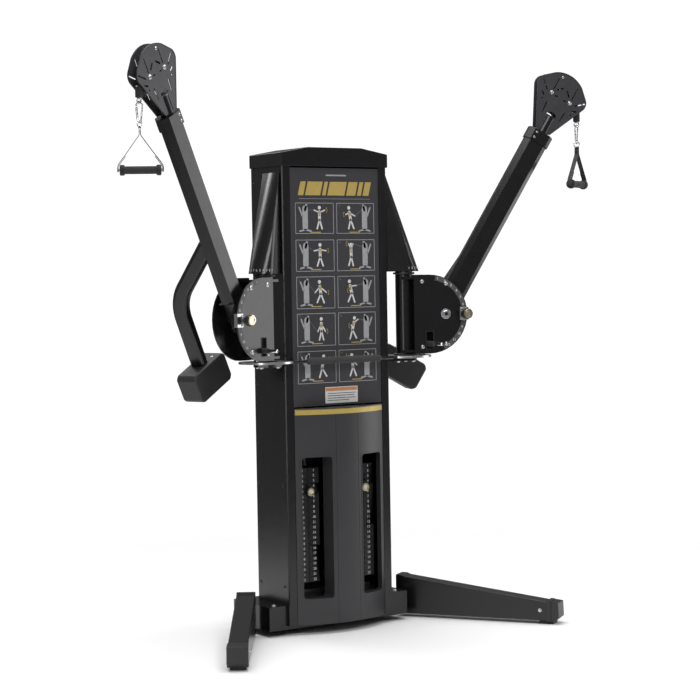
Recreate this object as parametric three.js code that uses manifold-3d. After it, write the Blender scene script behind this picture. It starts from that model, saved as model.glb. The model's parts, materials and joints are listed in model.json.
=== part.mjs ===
// Cable crossover machine: a tower with two weight stacks and two swivelling, tilting pulley arms.
// Millimetres, +Z up, the front of the machine towards -Y, its width along X.

import * as THREE from 'three';
import Module from 'manifold-3d';
import { mergeVertices } from 'three/addons/utils/BufferGeometryUtils.js';
import { ConvexGeometry } from 'three/addons/geometries/ConvexGeometry.js';

const wasm = await Module();
wasm.setup();
const { Manifold, Mesh: SolidMesh } = wasm;

// ---------------------------------------------------------------- driving dimensions

const GAP = 0.3; // left between pieces that touch
const RAD = Math.PI / 180;
const CENTRE = { x: -26.16, y: 222 }; // moves the machine so that its bounding box is centred

const TOWER = { half: 294, front: -136, back: 136, sheet: 3, foot: 47, top: 2186 };
const COLUMN = 44; // width of the front corner columns
const PLACARD = { bottom: 1066, top: 2180, thick: 4, inset: 3 };
const SHROUD = { bottom: 47, top: 1060, half: 248, bow: 72, thick: 4, facets: 12 };
const WINDOW = { inner: 84, outer: 222, bottom: 168, top: 832 };
const CAP = { bottom: 2186.3, side: 2249, crown: 2276, crownHalf: 150, over: 6, thick: 4 };

const BASE = { half: 392, front: -118, back: 206, bottom: 30, top: 142, skin: 6 };
const UPRIGHT = { size: 40, x: 262, y: 108, top: 2176 };
const LEG = {
  rootX: 448, rootY: -2, tipX: 896, tipY: -672, width: 88, rootTop: 206, tipTop: 100, bottom: 16, skin: 6,
};
const FOOT = { height: 15.7, pad: 70 };

const STACK = { x: 155, width: 120, front: -98, back: 92, bottom: 236, plate: 24.5, left: 17, lifted: 5 };
const ROD = { r: 9, x: 40, clear: 11, bottom: 196, top: 1740 };
const STEM = { r: 11, bore: 13, top: 828, bottom: 258 };
const SHEAVE = { r: 45, width: 18, bore: 7, groove: 39, z: 1830, axleR: 6.5, hanger: 6 };

const SWIVEL = { x: 394, y: -130, angle: 20.4, postR: 42, wall: 6, bottom: 1286.7, top: 1712 };
const INDEX = { r: 127, bottom: 1276.3, top: 1286.3, holeR: 6.6, pinR: 5.5, steps: 7, stepAngle: 10 };
const PLATE = { offset: 65, thick: 8, inner: 30, centre: 105, r: 190 };
const PIVOT = { x: 187, z: 1483, shaftR: 12, boreR: 12.6, sleeveR: 26 };
const ARM_ANGLE = { left: 62.5, right: 59.4 }; // how steeply each arm stands
const TILT = { r: 92, holeR: 7.8, step: 11.5, holes: 12, restHole: 2, pinR: 6.2 };
const FAN = { r: 105, near: -35, far: -50, low: -84, high: 68 };
const KNOB = { r: 25, start: 106, end: 142, travel: 13 };
const LEVER = { rootX: 90, rootY: -20, tipX: 138, tipY: -177, z: 1341, r: 8, sleeveR: 13 };
const COVER = { bottom: 1690, top: 2158, x: 409, r: 60, near: -118, rear: 22, proud: 6, wall: 4.5 };

const ARM = { inner: 112, hub: -48, hubY: 30, hubZ: 34, outer: 957, halfY: 36, halfZ: 59, chamfer: 22, wall: 4 };
const COLLAR = { from: 957, to: 1015, halfY: 41, halfZ: 64, bore: 27 };
const HEAD = {
  x: 1210, z: 6, apex: 1330, crownR: 140, cornerX: 1232, cornerZ: 92, cornerR: 46, neck: 1022, neckHalf: 40,
  inside: 22, thick: 4, spigotR: 26,
};
const WHEEL = { r: 47, width: 34, bore: 8.5, axleR: 8, groove: 39, spread: 53 };
const CABLE_R = 3;
const CABLE_REACH = WHEEL.groove + CABLE_R + 1; // cable centre from the wheel's axis

// the cable's run from above a stack to above a swivel post
const RUN = new THREE.Vector2(SWIVEL.x - STACK.x, SWIVEL.y);
const RUN_LENGTH = RUN.length();
const RUN_TURN = RUN.angle();
const SHEAVE_REACH = SHEAVE.groove + CABLE_R + 1;

const BAR = {
  wide: 76, thick: 54, edge: 13, from: [414, 8, 18], bend: [109, 304, -22], to: [-240, 318, -15], curveR: 240,
};
const WEIGHT = { along: -299, y: 318, perp: -15, long: 250, wide: 144, deep: 115, edge: 18 };

const STOP = { r: 17, top: -41, bottom: -89, stubTop: -0.6, eyeZ: -101, eyeR: 12, wire: 3.5 };
const HOOK = { top: -101.1, bottom: -197, half: 22, low: 13, wire: 4 };
const STRAP = {
  ringZ: -199.1, ringR: 14, wire: 3, apex: -226.4, stitchEnd: -248, gripZ: -394, half: 94, web: 22,
};
const GRIP = { half: 88, r: 17, capR: 23, bore: 9, capT: 22 };
const HANDLE_TURN = 47; // how far each hanging handle has turned about its cable

// ---------------------------------------------------------------- materials

function paint(color, roughness, metalness) {
  return new THREE.MeshStandardMaterial({ color, roughness, metalness });
}

const BLACK = paint(0x1d1d1f, 0.45, 0.3);
const CHARCOAL = paint(0x39373a, 0.55, 0.1);
const SILVER = paint(0xc4c6c8, 0.3, 0.9);
const CHROME = paint(0xd8d9db, 0.12, 1.0);
const WEIGHT_GREY = paint(0x3a3b3d, 0.8, 0.3);
const RUBBER = paint(0x141415, 0.85, 0.0);
const CABLE = paint(0x101011, 0.5, 0.0);
const NYLON = paint(0x1c1c1e, 0.6, 0.0);
const WEBBING = paint(0x19191a, 0.95, 0.0);

// ---------------------------------------------------------------- solids

function solid(geometry) {
  const bare = geometry.clone();
  bare.deleteAttribute('normal');
  bare.deleteAttribute('uv');
  const merged = mergeVertices(bare, 1e-4);
  const vertProperties = Float32Array.from(merged.attributes.position.array);
  const triVerts = Uint32Array.from(merged.index.array);
  return new Manifold(new SolidMesh({ numProp: 3, vertProperties, triVerts }));
}

function surface(manifold) {
  const mesh = manifold.getMesh();
  const geometry = new THREE.BufferGeometry();
  geometry.setAttribute('position', new THREE.BufferAttribute(Float32Array.from(mesh.vertProperties), 3));
  geometry.setIndex(new THREE.BufferAttribute(Uint32Array.from(mesh.triVerts), 1));
  geometry.computeVertexNormals();
  return geometry;
}

function join(...geometries) {
  return surface(geometries.map(solid).reduce((whole, piece) => whole.add(piece)));
}

function cut(geometry, ...tools) {
  return surface(tools.map(solid).reduce((whole, tool) => whole.subtract(tool), solid(geometry)));
}

function box([x0, x1], [y0, y1], [z0, z1]) {
  const geometry = new THREE.BoxGeometry(x1 - x0, y1 - y0, z1 - z0);
  return geometry.translate((x0 + x1) / 2, (y0 + y1) / 2, (z0 + z1) / 2);
}

function rod(axis, r, [from, to], [a, b], sides = 20) {
  const geometry = new THREE.CylinderGeometry(r, r, to - from, sides);
  const middle = (from + to) / 2;
  if (axis === 'x') return geometry.rotateZ(-Math.PI / 2).translate(middle, a, b);
  if (axis === 'y') return geometry.translate(a, middle, b);
  return geometry.rotateX(Math.PI / 2).translate(a, b, middle);
}

function outline(points) {
  return new THREE.Shape(points.map(([x, y]) => new THREE.Vector2(x, y)));
}

// A flat plate with its outline in XZ and its thickness along Y.
function slab(shape, [y0, y1]) {
  const geometry = new THREE.ExtrudeGeometry(shape, { depth: y1 - y0, bevelEnabled: false });
  return geometry.rotateX(Math.PI / 2).translate(0, y1, 0);
}

// A flat plate with its outline in XY and its thickness along Z.
function floorPlate(shape, [z0, z1]) {
  const geometry = new THREE.ExtrudeGeometry(shape, { depth: z1 - z0, bevelEnabled: false });
  return geometry.translate(0, 0, z0);
}

// A turned piece about an axis through the origin; its profile is (radius, place along the axis).
function turned(axis, profile, sides = 20) {
  const geometry = new THREE.LatheGeometry(profile.map(([r, t]) => new THREE.Vector2(r, t)), sides);
  if (axis === 'x') return geometry.rotateZ(-Math.PI / 2);
  if (axis === 'z') return geometry.rotateX(Math.PI / 2);
  return geometry;
}

function round(r, sides) {
  const shape = new THREE.Shape();
  for (let k = 0; k < sides; k += 1) {
    const a = (2 * Math.PI * k) / sides;
    if (k === 0) shape.moveTo(r, 0);
    else shape.lineTo(r * Math.cos(a), r * Math.sin(a));
  }
  shape.closePath();
  return shape;
}

function sweep(shape, curve, steps) {
  return new THREE.ExtrudeGeometry(shape, { extrudePath: curve, steps, bevelEnabled: false });
}

function path(points) {
  return new THREE.CatmullRomCurve3(points.map((p) => new THREE.Vector3(...p)), false, 'centripetal');
}

// A stretch of cable bent round a wheel whose axle runs along Y, from one angle to another (degrees).
function bend([x, z], reach, [from, to], steps) {
  const points = [...Array(steps + 1).keys()].map((k) => {
    const a = (from + ((to - from) * k) / steps) * RAD;
    return [x + reach * Math.cos(a), 0, z + reach * Math.sin(a)];
  });
  return sweep(round(CABLE_R, 8), path(points), steps);
}

// ---------------------------------------------------------------- scene graph

const machine = new THREE.Group();
machine.position.set(CENTRE.x, CENTRE.y, 0);

function add(parent, name, geometry, material) {
  const mesh = new THREE.Mesh(geometry, material);
  mesh.name = name;
  parent.add(mesh);
  return mesh;
}

// The left side is the right side mirrored in X.
function sided(geometry, side) {
  if (side === 'right') return geometry;
  const mirrored = geometry.clone().scale(-1, 1, 1);
  if (!mirrored.index) mirrored.setIndex([...Array(mirrored.attributes.position.count).keys()]);
  const index = mirrored.index.array;
  for (let k = 0; k < index.length; k += 3) [index[k], index[k + 1]] = [index[k + 1], index[k]];
  mirrored.computeVertexNormals();
  return mirrored;
}

const SIDES = { right: 1, left: -1 };

// ---------------------------------------------------------------- frame

function mainFrame() {
  const { half, front, back, bottom, top, skin } = BASE;
  const underside = box([-half + skin, half - skin], [front + skin, back - 70], [bottom - 5, top - skin]);
  const pieces = [cut(box([-half, half], [front, back], [bottom, top]), underside)];
  const { size, x, y } = UPRIGHT;
  for (const sx of [-1, 1]) {
    for (const sy of [-1, 1]) {
      const cx = sx * x;
      const cy = sy * y;
      pieces.push(box([cx - size / 2, cx + size / 2], [cy - size / 2, cy + size / 2], [top - 5, UPRIGHT.top]));
    }
    pieces.push(box([sx * x - 20, sx * x + 20], [-y, y], [UPRIGHT.top - 40, UPRIGHT.top]));
    pieces.push(box([sx * x - 20, sx * x + 20], [-y, y], [SWIVEL.top - 10, SHEAVE.z + 22]));
    pieces.push(box([sx * 193 - 12, sx * 193 + 12], [-y, y], [UPRIGHT.top - 40, UPRIGHT.top]));
    pieces.push(bearingArm(sx), swivelBracket(sx), ...sheaveHangers(sx));
  }
  for (const sy of [-1, 1]) {
    pieces.push(box([-x, x], [sy * y - 20, sy * y + 20], [UPRIGHT.top - 40, UPRIGHT.top]));
  }
  pieces.push(box([-230, 230], [-80, 80], [top - 5, ROD.bottom - 14.3]));
  return join(...pieces);
}

// The upper bearing plate that holds the top of a swivel post, reached through the side panel.
function bearingArm(side) {
  const near = side * UPRIGHT.x;
  const shape = outline([
    [near, -60],
    [near, -4],
    [side * 306, -4],
    [side * (SWIVEL.x - 22), -92],
    [side * (SWIVEL.x + 12), -98],
    [side * (SWIVEL.x + 33), -118],
    [side * (SWIVEL.x + 33), -142],
    [side * (SWIVEL.x + 12), -162],
    [side * (SWIVEL.x - 12), -162],
    [side * (SWIVEL.x - 33), -142],
    [side * 300, -60],
  ]);
  const plate = floorPlate(shape, [SWIVEL.top + GAP, SWIVEL.top + 12]);
  return cut(plate, rod('z', 16, [SWIVEL.top - 5, SWIVEL.top + 20], [side * SWIVEL.x, SWIVEL.y], 12));
}

// Plates that carry the two sheaves' axles: one hangs from the top, one reaches out through the side.
function sheaveHangers(side) {
  const { z, width, hanger, axleR } = SHEAVE;
  const near = width / 2 + 2;
  const inner = SHEAVE_REACH;
  const outer = RUN_LENGTH - SHEAVE_REACH;
  const plates = [
    box([inner - 14, inner + 14], [near, near + hanger], [z - 14, UPRIGHT.top - 20]),
    box([124, outer + 14], [near, near + hanger], [z - 12, z + 12]),
    rod('y', axleR, [-near, near + 1], [inner, z], 12),
    rod('y', axleR, [-near, near + 1], [outer, z], 12),
  ].map((piece) => alongRun(piece));
  return plates.map((piece) => sided(piece, side > 0 ? 'right' : 'left'));
}

// The lower bracket under an index plate.
function swivelBracket(side) {
  const near = side * UPRIGHT.x;
  const shape = outline([
    [near, -128],
    [near, -92],
    [side * (SWIVEL.x + 20), -84],
    [side * (SWIVEL.x + 56), -112],
    [side * (SWIVEL.x + 56), -150],
    [side * (SWIVEL.x + 20), -182],
    [side * (SWIVEL.x - 50), -182],
    [side * 302, -128],
  ]);
  return floorPlate(shape, [INDEX.bottom - 16, INDEX.bottom - GAP]);
}

add(machine, 'main_frame', mainFrame(), BLACK);

// A leg: a box beam, wide at the tower and lower at its tip.
function leg() {
  const { rootX, rootY, tipX, tipY, width, rootTop, tipTop, bottom, skin } = LEG;
  const length = Math.hypot(tipX - rootX, tipY - rootY);
  const along = Math.atan2(tipY - rootY, tipX - rootX);
  const side = outline([
    [-18, bottom],
    [length - 22, bottom],
    [length, bottom + 18],
    [length - 4, tipTop],
    [30, rootTop - 8],
    [12, rootTop],
    [-18, rootTop],
  ]);
  const hollow = outline([
    [60, bottom - 5],
    [length - 120, bottom - 5],
    [length - 120, tipTop],
    [60, rootTop - 8 - 3 * skin],
  ]);
  const inside = width / 2 - skin;
  const bare = cut(slab(side, [-width / 2, width / 2]), slab(hollow, [-inside, inside]));
  const beam = bare.rotateZ(along).translate(rootX, rootY, 0);
  const keepOut = box([0, BASE.half + GAP], [BASE.front - 200, BASE.back + 50], [0, 400]);
  return cut(beam, keepOut);
}

function frontFoot() {
  const length = Math.hypot(LEG.tipX - LEG.rootX, LEG.tipY - LEG.rootY);
  const along = Math.atan2(LEG.tipY - LEG.rootY, LEG.tipX - LEG.rootX);
  const half = FOOT.pad / 2;
  const pad = box([length - 26 - FOOT.pad, length - 26], [-half, half], [0, FOOT.height]);
  return pad.rotateZ(along).translate(LEG.rootX, LEG.rootY, 0);
}

for (const side of Object.keys(SIDES)) {
  add(machine, `${side}_leg`, sided(leg(), side), BLACK);
  add(machine, `${side}_front_foot`, sided(frontFoot(), side), RUBBER);
}

// One rubber strip under the back edge of the base.
function rearFoot() {
  const strip = box([-BASE.half + 8, BASE.half - 8], [BASE.back - 60, BASE.back - 8], [0, BASE.bottom - GAP]);
  return strip;
}

add(machine, 'rear_foot', rearFoot(), RUBBER);

// ---------------------------------------------------------------- covers

// A side panel folded round into the front corner column and a short flange at the back.
function sidePanel() {
  const { half, front, back, sheet } = TOWER;
  const inner = half - sheet;
  const shape = outline([
    [half - COLUMN, front],
    [half - 5, front],
    [half, front + 5],
    [half, back],
    [half - 24, back],
    [half - 24, back - sheet],
    [inner, back - sheet],
    [inner, front + sheet],
    [half - COLUMN, front + sheet],
  ]);
  const panel = join(
    floorPlate(shape, [BASE.top + GAP, TOWER.top]),
    box([half - COLUMN, half], [front, BASE.front - GAP], [TOWER.foot, BASE.top - 6]),
    box([half - COLUMN, half], [front, front + sheet], [BASE.top - 10, BASE.top + 2]),
  );
  const topWindow = box([half - 10, half + 10], [-66, 0], [SWIVEL.top - 4, SWIVEL.top + 16]);
  const hangerPort = box([half - 10, half + 10], [-74, -44], [SHEAVE.z - 16, SHEAVE.z + 16]);
  const lowWindow = box([half - 10, half + 10], [-131, -88], [INDEX.bottom - 20, INDEX.bottom + 4]);
  const cablePort = box([half - 10, half + 10], [-84, -66], [SHEAVE.z + 34, SHEAVE.z + 54]);
  return cut(panel, topWindow, lowWindow, hangerPort, cablePort);
}

function backPanel() {
  const edge = TOWER.half - 24 - GAP;
  return box([-edge, edge], [TOWER.back - TOWER.sheet, TOWER.back], [BASE.top + GAP, TOWER.top]);
}

function frontPanel() {
  const edge = TOWER.half - COLUMN - GAP;
  const y = TOWER.front + PLACARD.inset;
  return box([-edge, edge], [y, y + PLACARD.thick], [PLACARD.bottom, PLACARD.top]);
}

// Points across the shroud's bowed front, moved in by a thickness.
function bowLine(inset) {
  const { half, bow, facets } = SHROUD;
  const r = (half ** 2 + bow ** 2) / (2 * bow);
  const spread = Math.asin(half / r);
  return [...Array(facets + 1).keys()].map((k) => {
    const a = spread * ((2 * k) / facets - 1);
    return [(r - inset) * Math.sin(a), TOWER.front - bow + r - (r - inset) * Math.cos(a)];
  });
}

// The lower shroud: bowed forward between the columns, with a closed top ledge.
function frontShroud() {
  const { bow, thick, bottom, top, half } = SHROUD;
  const y = TOWER.front;
  const skin = floorPlate(outline([...bowLine(0), ...bowLine(thick).reverse()]), [bottom, top]);
  const ledge = floorPlate(outline([...bowLine(0), [half, y + thick], [-half, y + thick]]), [top - thick, top]);
  const windows = Object.values(SIDES).map((s) => box(
    [Math.min(s * WINDOW.inner, s * WINDOW.outer), Math.max(s * WINDOW.inner, s * WINDOW.outer)],
    [y - bow - 20, y + 20],
    [WINDOW.bottom, WINDOW.top],
  ));
  return cut(join(skin, ledge), ...windows);
}

// The faceted cap: flat crown, sloping shoulders, open underneath.
function topCap() {
  const { bottom, side, crown, crownHalf, over, thick } = CAP;
  const x = TOWER.half + over;
  const y0 = TOWER.front - over;
  const y1 = TOWER.back + over;
  const gable = (inset) => outline([
    [-x + inset, bottom - (inset ? 10 : 0)],
    [x - inset, bottom - (inset ? 10 : 0)],
    [x - inset, side - inset],
    [crownHalf, crown - inset],
    [-crownHalf, crown - inset],
    [-x + inset, side - inset],
  ]);
  return cut(slab(gable(0), [y0, y1]), slab(gable(thick), [y0 + thick, y1 - thick]));
}

add(machine, 'back_panel', backPanel(), BLACK);
add(machine, 'front_panel', frontPanel(), CHARCOAL);
add(machine, 'front_shroud', frontShroud(), CHARCOAL);
add(machine, 'top_cap', topCap(), BLACK);

// The tapered cover over the top of a swivel post: round outside, closing in to the side panel as it rises.
function swivelCover() {
  const { bottom, top, x, r, near, rear, proud, wall } = COVER;
  const inner = TOWER.half + GAP;
  const form = (inset, from, to, back) => {
    const points = [...Array(20).keys()].map((k) => {
      const a = (2 * Math.PI * k) / 20;
      return new THREE.Vector3(x + (r - inset) * Math.cos(a), SWIVEL.y + (r - inset) * Math.sin(a), from);
    });
    for (const y of [near + inset, rear - inset]) {
      points.push(new THREE.Vector3(back, y, from), new THREE.Vector3(back, y, to));
      points.push(new THREE.Vector3(inner + proud - inset, y, to));
    }
    return new ConvexGeometry(points);
  };
  return cut(form(0, bottom, top, inner), form(wall, bottom - 3, top - 14, inner - 5));
}

// The silver disc under a swivel post, with one hole for each swivel position.
function indexPlate() {
  const shape = new THREE.Shape();
  const trim = TOWER.half + GAP - SWIVEL.x;
  const open = Math.acos(trim / INDEX.r);
  const sides = 22;
  for (let k = 0; k <= sides; k += 1) {
    const a = -open + (2 * open * k) / sides;
    const x = SWIVEL.x + INDEX.r * Math.cos(a);
    const y = SWIVEL.y + INDEX.r * Math.sin(a);
    if (k === 0) shape.moveTo(x, y);
    else shape.lineTo(x, y);
  }
  shape.closePath();
  const disc = floorPlate(shape, [INDEX.bottom, INDEX.top]);
  const reach = Math.hypot(LEVER.rootX, LEVER.rootY);
  const rest = Math.atan2(LEVER.rootY, LEVER.rootX) / RAD - SWIVEL.angle;
  const holes = [...Array(INDEX.steps).keys()].map((k) => {
    const a = (rest - k * INDEX.stepAngle) * RAD;
    const at = [SWIVEL.x + reach * Math.cos(a), SWIVEL.y + reach * Math.sin(a)];
    return rod('z', INDEX.holeR, [INDEX.bottom - 5, INDEX.top + 5], at, 6);
  });
  return cut(disc, ...holes);
}

// ---------------------------------------------------------------- grab bar

function grabBar() {
  const reach = SWIVEL.x - Math.sqrt(INDEX.r ** 2 - 60 ** 2) - GAP;
  const z = (INDEX.bottom + INDEX.top) / 2;
  const profile = [
    [0, -reach], [8, -reach], [8, -216], [16.5, -208], [16.5, 208], [8, 216], [8, reach], [0, reach],
  ];
  return turned('x', profile, 12).translate(0, SWIVEL.y - 60, z);
}

add(machine, 'grab_bar', grabBar(), RUBBER);

// ---------------------------------------------------------------- weights

const STACK_TOP = STACK.bottom + STACK.plate * STACK.left;
const LIFTED_TOP = STACK_TOP + STACK.plate * STACK.lifted;

function rodHoles(x, [from, to]) {
  return [-1, 1].map((s) => rod('z', ROD.clear, [from - 5, to + 5], [x + s * ROD.x, 0], 10));
}

// Four chromed rods held by a plate at each end.
function guideRods() {
  const plate = (z0) => box([-214, 214], [-60, 60], [z0, z0 + 14]);
  const cableHoles = [-1, 1].map((s) => rod('z', 9, [ROD.top - 5, ROD.top + 30], [s * STACK.x, 0], 12));
  const top = cut(plate(ROD.top), ...cableHoles);
  const rods = [];
  for (const x of [-STACK.x, STACK.x]) {
    for (const dx of [-ROD.x, ROD.x]) {
      rods.push(rod('z', ROD.r, [ROD.bottom - 2, ROD.top + 2], [x + dx, 0], 12));
    }
  }
  return join(plate(ROD.bottom - 14), top, ...rods);
}

add(machine, 'guide_rods', guideRods(), CHROME);

function plates([from, to], bore) {
  const { x, width, front, back } = STACK;
  const block = box([x - width / 2, x + width / 2], [front, back], [from, to]);
  return cut(block, ...rodHoles(x, [from, to]), ...bore);
}

function weightStack() {
  const to = STACK_TOP - GAP;
  const bore = rod('z', STEM.bore, [STACK.bottom - 5, to + 5], [STACK.x, 0], 12);
  const cushions = [-1, 1].map((s) => {
    const at = [STACK.x + s * ROD.x, 0];
    const ring = rod('z', 19, [ROD.bottom + GAP, STACK.bottom + 2], at, 12);
    return cut(ring, rod('z', ROD.clear, [ROD.bottom - 5, STACK.bottom + 5], at, 12));
  });
  return join(plates([STACK.bottom, to], [bore]), ...cushions);
}

// The plates above the selector pin, with the drilled stem that the cable pulls.
function liftedPlates() {
  const stem = rod('z', STEM.r, [STEM.bottom, STEM.top], [STACK.x, 0], 12);
  const pinHole = rod('y', 6, [STACK.front - 5, 20], [STACK.x, STACK_TOP + STACK.plate / 2], 8);
  return cut(join(plates([STACK_TOP, LIFTED_TOP], []), stem), pinHole);
}

function selectorPin() {
  const knob = STACK.front - 5;
  const profile = [[0, 0], [17, 0], [22, 5], [22, 16], [16, 22], [5, 22], [5, 118], [0, 118]];
  const flipped = profile.map(([r, t]) => [r, knob - 22 + t]);
  return turned('y', flipped, 12).translate(STACK.x, 0, STACK_TOP + STACK.plate / 2);
}

// ---------------------------------------------------------------- tower cable and its two sheaves

// Places a piece made in the cable run's own plane: x along the run, z up.
function alongRun(geometry) {
  return geometry.rotateZ(RUN_TURN).translate(STACK.x, 0, 0);
}

function wheel({ r, width, bore, groove }, sides = 14) {
  const h = width / 2;
  const profile = [
    [bore, -h], [r, -h], [r, 3 - h], [groove, -4], [groove, 4], [r, h - 3], [r, h], [bore, h], [bore, -h],
  ];
  return turned('y', profile, sides);
}

function liftCable() {
  return rod('z', CABLE_R, [STEM.top + GAP, SHEAVE.z], [STACK.x, 0], 8);
}

// Up over the inner sheave, across, over the outer sheave and down the middle of the swivel post.
function towerCable() {
  const { z } = SHEAVE;
  const near = SHEAVE_REACH;
  const far = RUN_LENGTH - SHEAVE_REACH;
  const lap = 0.5;
  return alongRun(join(
    bend([near, z], SHEAVE_REACH, [179.5, 90], 6),
    rod('x', CABLE_R, [near - lap, far + lap], [0, z + SHEAVE_REACH], 8),
    bend([far, z], SHEAVE_REACH, [90, 0], 6),
    rod('z', CABLE_R, [1530, z + lap], [RUN_LENGTH, 0], 8),
  ));
}

for (const side of Object.keys(SIDES)) {
  const put = (name, geometry, material) => add(machine, `${side}_${name}`, sided(geometry, side), material);
  put('side_panel', sidePanel(), BLACK);
  put('swivel_cover', swivelCover(), BLACK);
  put('index_plate', indexPlate(), SILVER);
  put('weight_stack', weightStack(), WEIGHT_GREY);
  put('lifted_plates', liftedPlates(), WEIGHT_GREY);
  put('selector_pin', selectorPin(), NYLON);
  put('lift_cable', liftCable(), CABLE);
  put('tower_cable', towerCable(), CABLE);
  for (const [name, x] of [['inner_top_sheave', SHEAVE_REACH], ['outer_top_sheave', RUN_LENGTH - SHEAVE_REACH]]) {
    put(name, alongRun(wheel(SHEAVE, 12).translate(x, 0, SHEAVE.z)), NYLON);
  }
}

// ---------------------------------------------------------------- swivel frame
// Made about the swivel axis: x outwards along the arm, y backwards, z up. The pin and the plunger are drawn
// clear of their holes, so that the arm can turn; pushed in, they lock it.

function dPlate([y0, y1]) {
  const { inner, centre, r } = PLATE;
  const shape = new THREE.Shape();
  const sides = 20;
  shape.moveTo(inner, PIVOT.z - r);
  for (let k = 0; k <= sides; k += 1) {
    const a = (k / sides - 0.5) * Math.PI;
    shape.lineTo(centre + r * Math.cos(a), PIVOT.z + r * Math.sin(a));
  }
  shape.lineTo(inner, PIVOT.z + r);
  shape.closePath();
  return slab(shape, [y0, y1]);
}

function swivelFrame() {
  const near = PLATE.offset;
  const far = PLATE.offset + PLATE.thick;
  const reach = LEVER.rootX;
  const web = (z) => box([-20, 100], [-near - 1, near + 1], [z, z + 12]);
  const whole = join(
    rod('z', SWIVEL.postR, [SWIVEL.bottom, SWIVEL.top], [0, 0], 18),
    dPlate([-far, -near]),
    dPlate([near, far]),
    web(1652),
    web(1300),
    box([PLATE.inner, PLATE.inner + 6], [-near - 1, near + 1], [1295, 1660]),
    rod('y', PIVOT.shaftR, [-far - 8, far + 8], [PIVOT.x, PIVOT.z], 12),
    rod('y', 18, [-KNOB.start + KNOB.travel + 1, -near - 1], [PIVOT.x + TILT.r, PIVOT.z], 12),
  );
  return cut(
    whole,
    rod('z', SWIVEL.postR - SWIVEL.wall, [SWIVEL.bottom - 5, SWIVEL.top + 5], [0, 0], 12),
    rod('y', TILT.pinR + 0.8, [-120, -near + 10], [PIVOT.x + TILT.r, PIVOT.z], 8),
    box([88, 123], [-far - 10, -near + 10], [1316, 1400]),
    rod('z', INDEX.pinR + 1, [1295, 1345], [reach, LEVER.rootY], 8),
  );
}

function tiltPin() {
  const { r, start, end } = KNOB;
  const pin = TILT.pinR;
  const tip = FAN.far - 1;
  const profile = [
    [0, tip], [pin, tip], [pin, -start], [r - 4, -start], [r, -start - 5], [r, -end + 6], [r - 6, -end], [0, -end],
  ];
  return turned('y', profile.reverse(), 14).translate(PIVOT.x + TILT.r, 0, PIVOT.z);
}

// The lever that lifts the swivel's locking plunger out of the index plate.
function swivelLever() {
  const { rootX, rootY, tipX, tipY, z, r, sleeveR } = LEVER;
  const length = Math.hypot(tipX - rootX, tipY - rootY);
  const turn = Math.atan2(tipY - rootY, tipX - rootX);
  const profile = [
    [0, -4], [r, -4], [r, 12], [sleeveR, 14], [sleeveR, 88], [r, 91], [r, length - 4], [r - 4, length], [0, length],
  ];
  const handle = turned('x', profile, 10).rotateZ(turn).translate(rootX, rootY, z);
  const plunger = rod('z', INDEX.pinR, [INDEX.top + 1, z], [rootX, rootY], 8);
  return join(handle, plunger);
}

// ---------------------------------------------------------------- arm
// Made about the pivot: x along the arm, y backwards, z square to both.

function octagon(halfY, halfZ, chamfer) {
  return outline([
    [halfY, -halfZ + chamfer],
    [halfY, halfZ - chamfer],
    [halfY - chamfer, halfZ],
    [-halfY + chamfer, halfZ],
    [-halfY, halfZ - chamfer],
    [-halfY, -halfZ + chamfer],
    [-halfY + chamfer, -halfZ],
    [halfY - chamfer, -halfZ],
  ]);
}

// A straight bar along x with its section's outline given as (y, z).
function beam(shape, [x0, x1]) {
  const geometry = new THREE.ExtrudeGeometry(shape, { depth: x1 - x0, bevelEnabled: false });
  return geometry.rotateX(Math.PI / 2).rotateZ(Math.PI / 2).translate(x0, 0, 0);
}

function fan() {
  const shape = new THREE.Shape();
  const sides = 14;
  shape.moveTo(0, 0);
  for (let k = 0; k <= sides; k += 1) {
    const a = (FAN.low + ((FAN.high - FAN.low) * k) / sides) * RAD;
    shape.lineTo(FAN.r * Math.cos(a), FAN.r * Math.sin(a));
  }
  shape.closePath();
  return slab(shape, [FAN.far, FAN.near]);
}

function armTube(angle) {
  const { inner, outer, halfY, halfZ, chamfer, wall, hub, hubY, hubZ } = ARM;
  const shell = cut(
    beam(octagon(halfY, halfZ, chamfer), [inner, outer + 1]),
    beam(octagon(halfY - wall, halfZ - wall, chamfer - 2), [inner + 6, outer - 6]),
  );
  const collar = beam(octagon(COLLAR.halfY, COLLAR.halfZ, chamfer), [COLLAR.from, COLLAR.to]);
  const core = box([hub, inner + 3], [-hubY, hubY], [-hubZ, hubZ]);
  const sleeve = rod('y', PIVOT.sleeveR, [-halfY + 1, halfY - 1], [0, 0], 14);
  const holes = [...Array(TILT.holes).keys()].map((k) => {
    const a = (-angle + (k + 1 - TILT.restHole) * TILT.step) * RAD;
    return rod('y', TILT.holeR, [FAN.far - 5, FAN.near + 0.5], [TILT.r * Math.cos(a), TILT.r * Math.sin(a)], 6);
  });
  return cut(
    join(shell, collar, core, sleeve, fan()),
    rod('y', PIVOT.boreR, [-70, 70], [0, 0], 12),
    rod('x', COLLAR.bore, [ARM.outer - 12, COLLAR.to + 5], [0, 0], 16),
    ...holes,
  );
}

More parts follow.
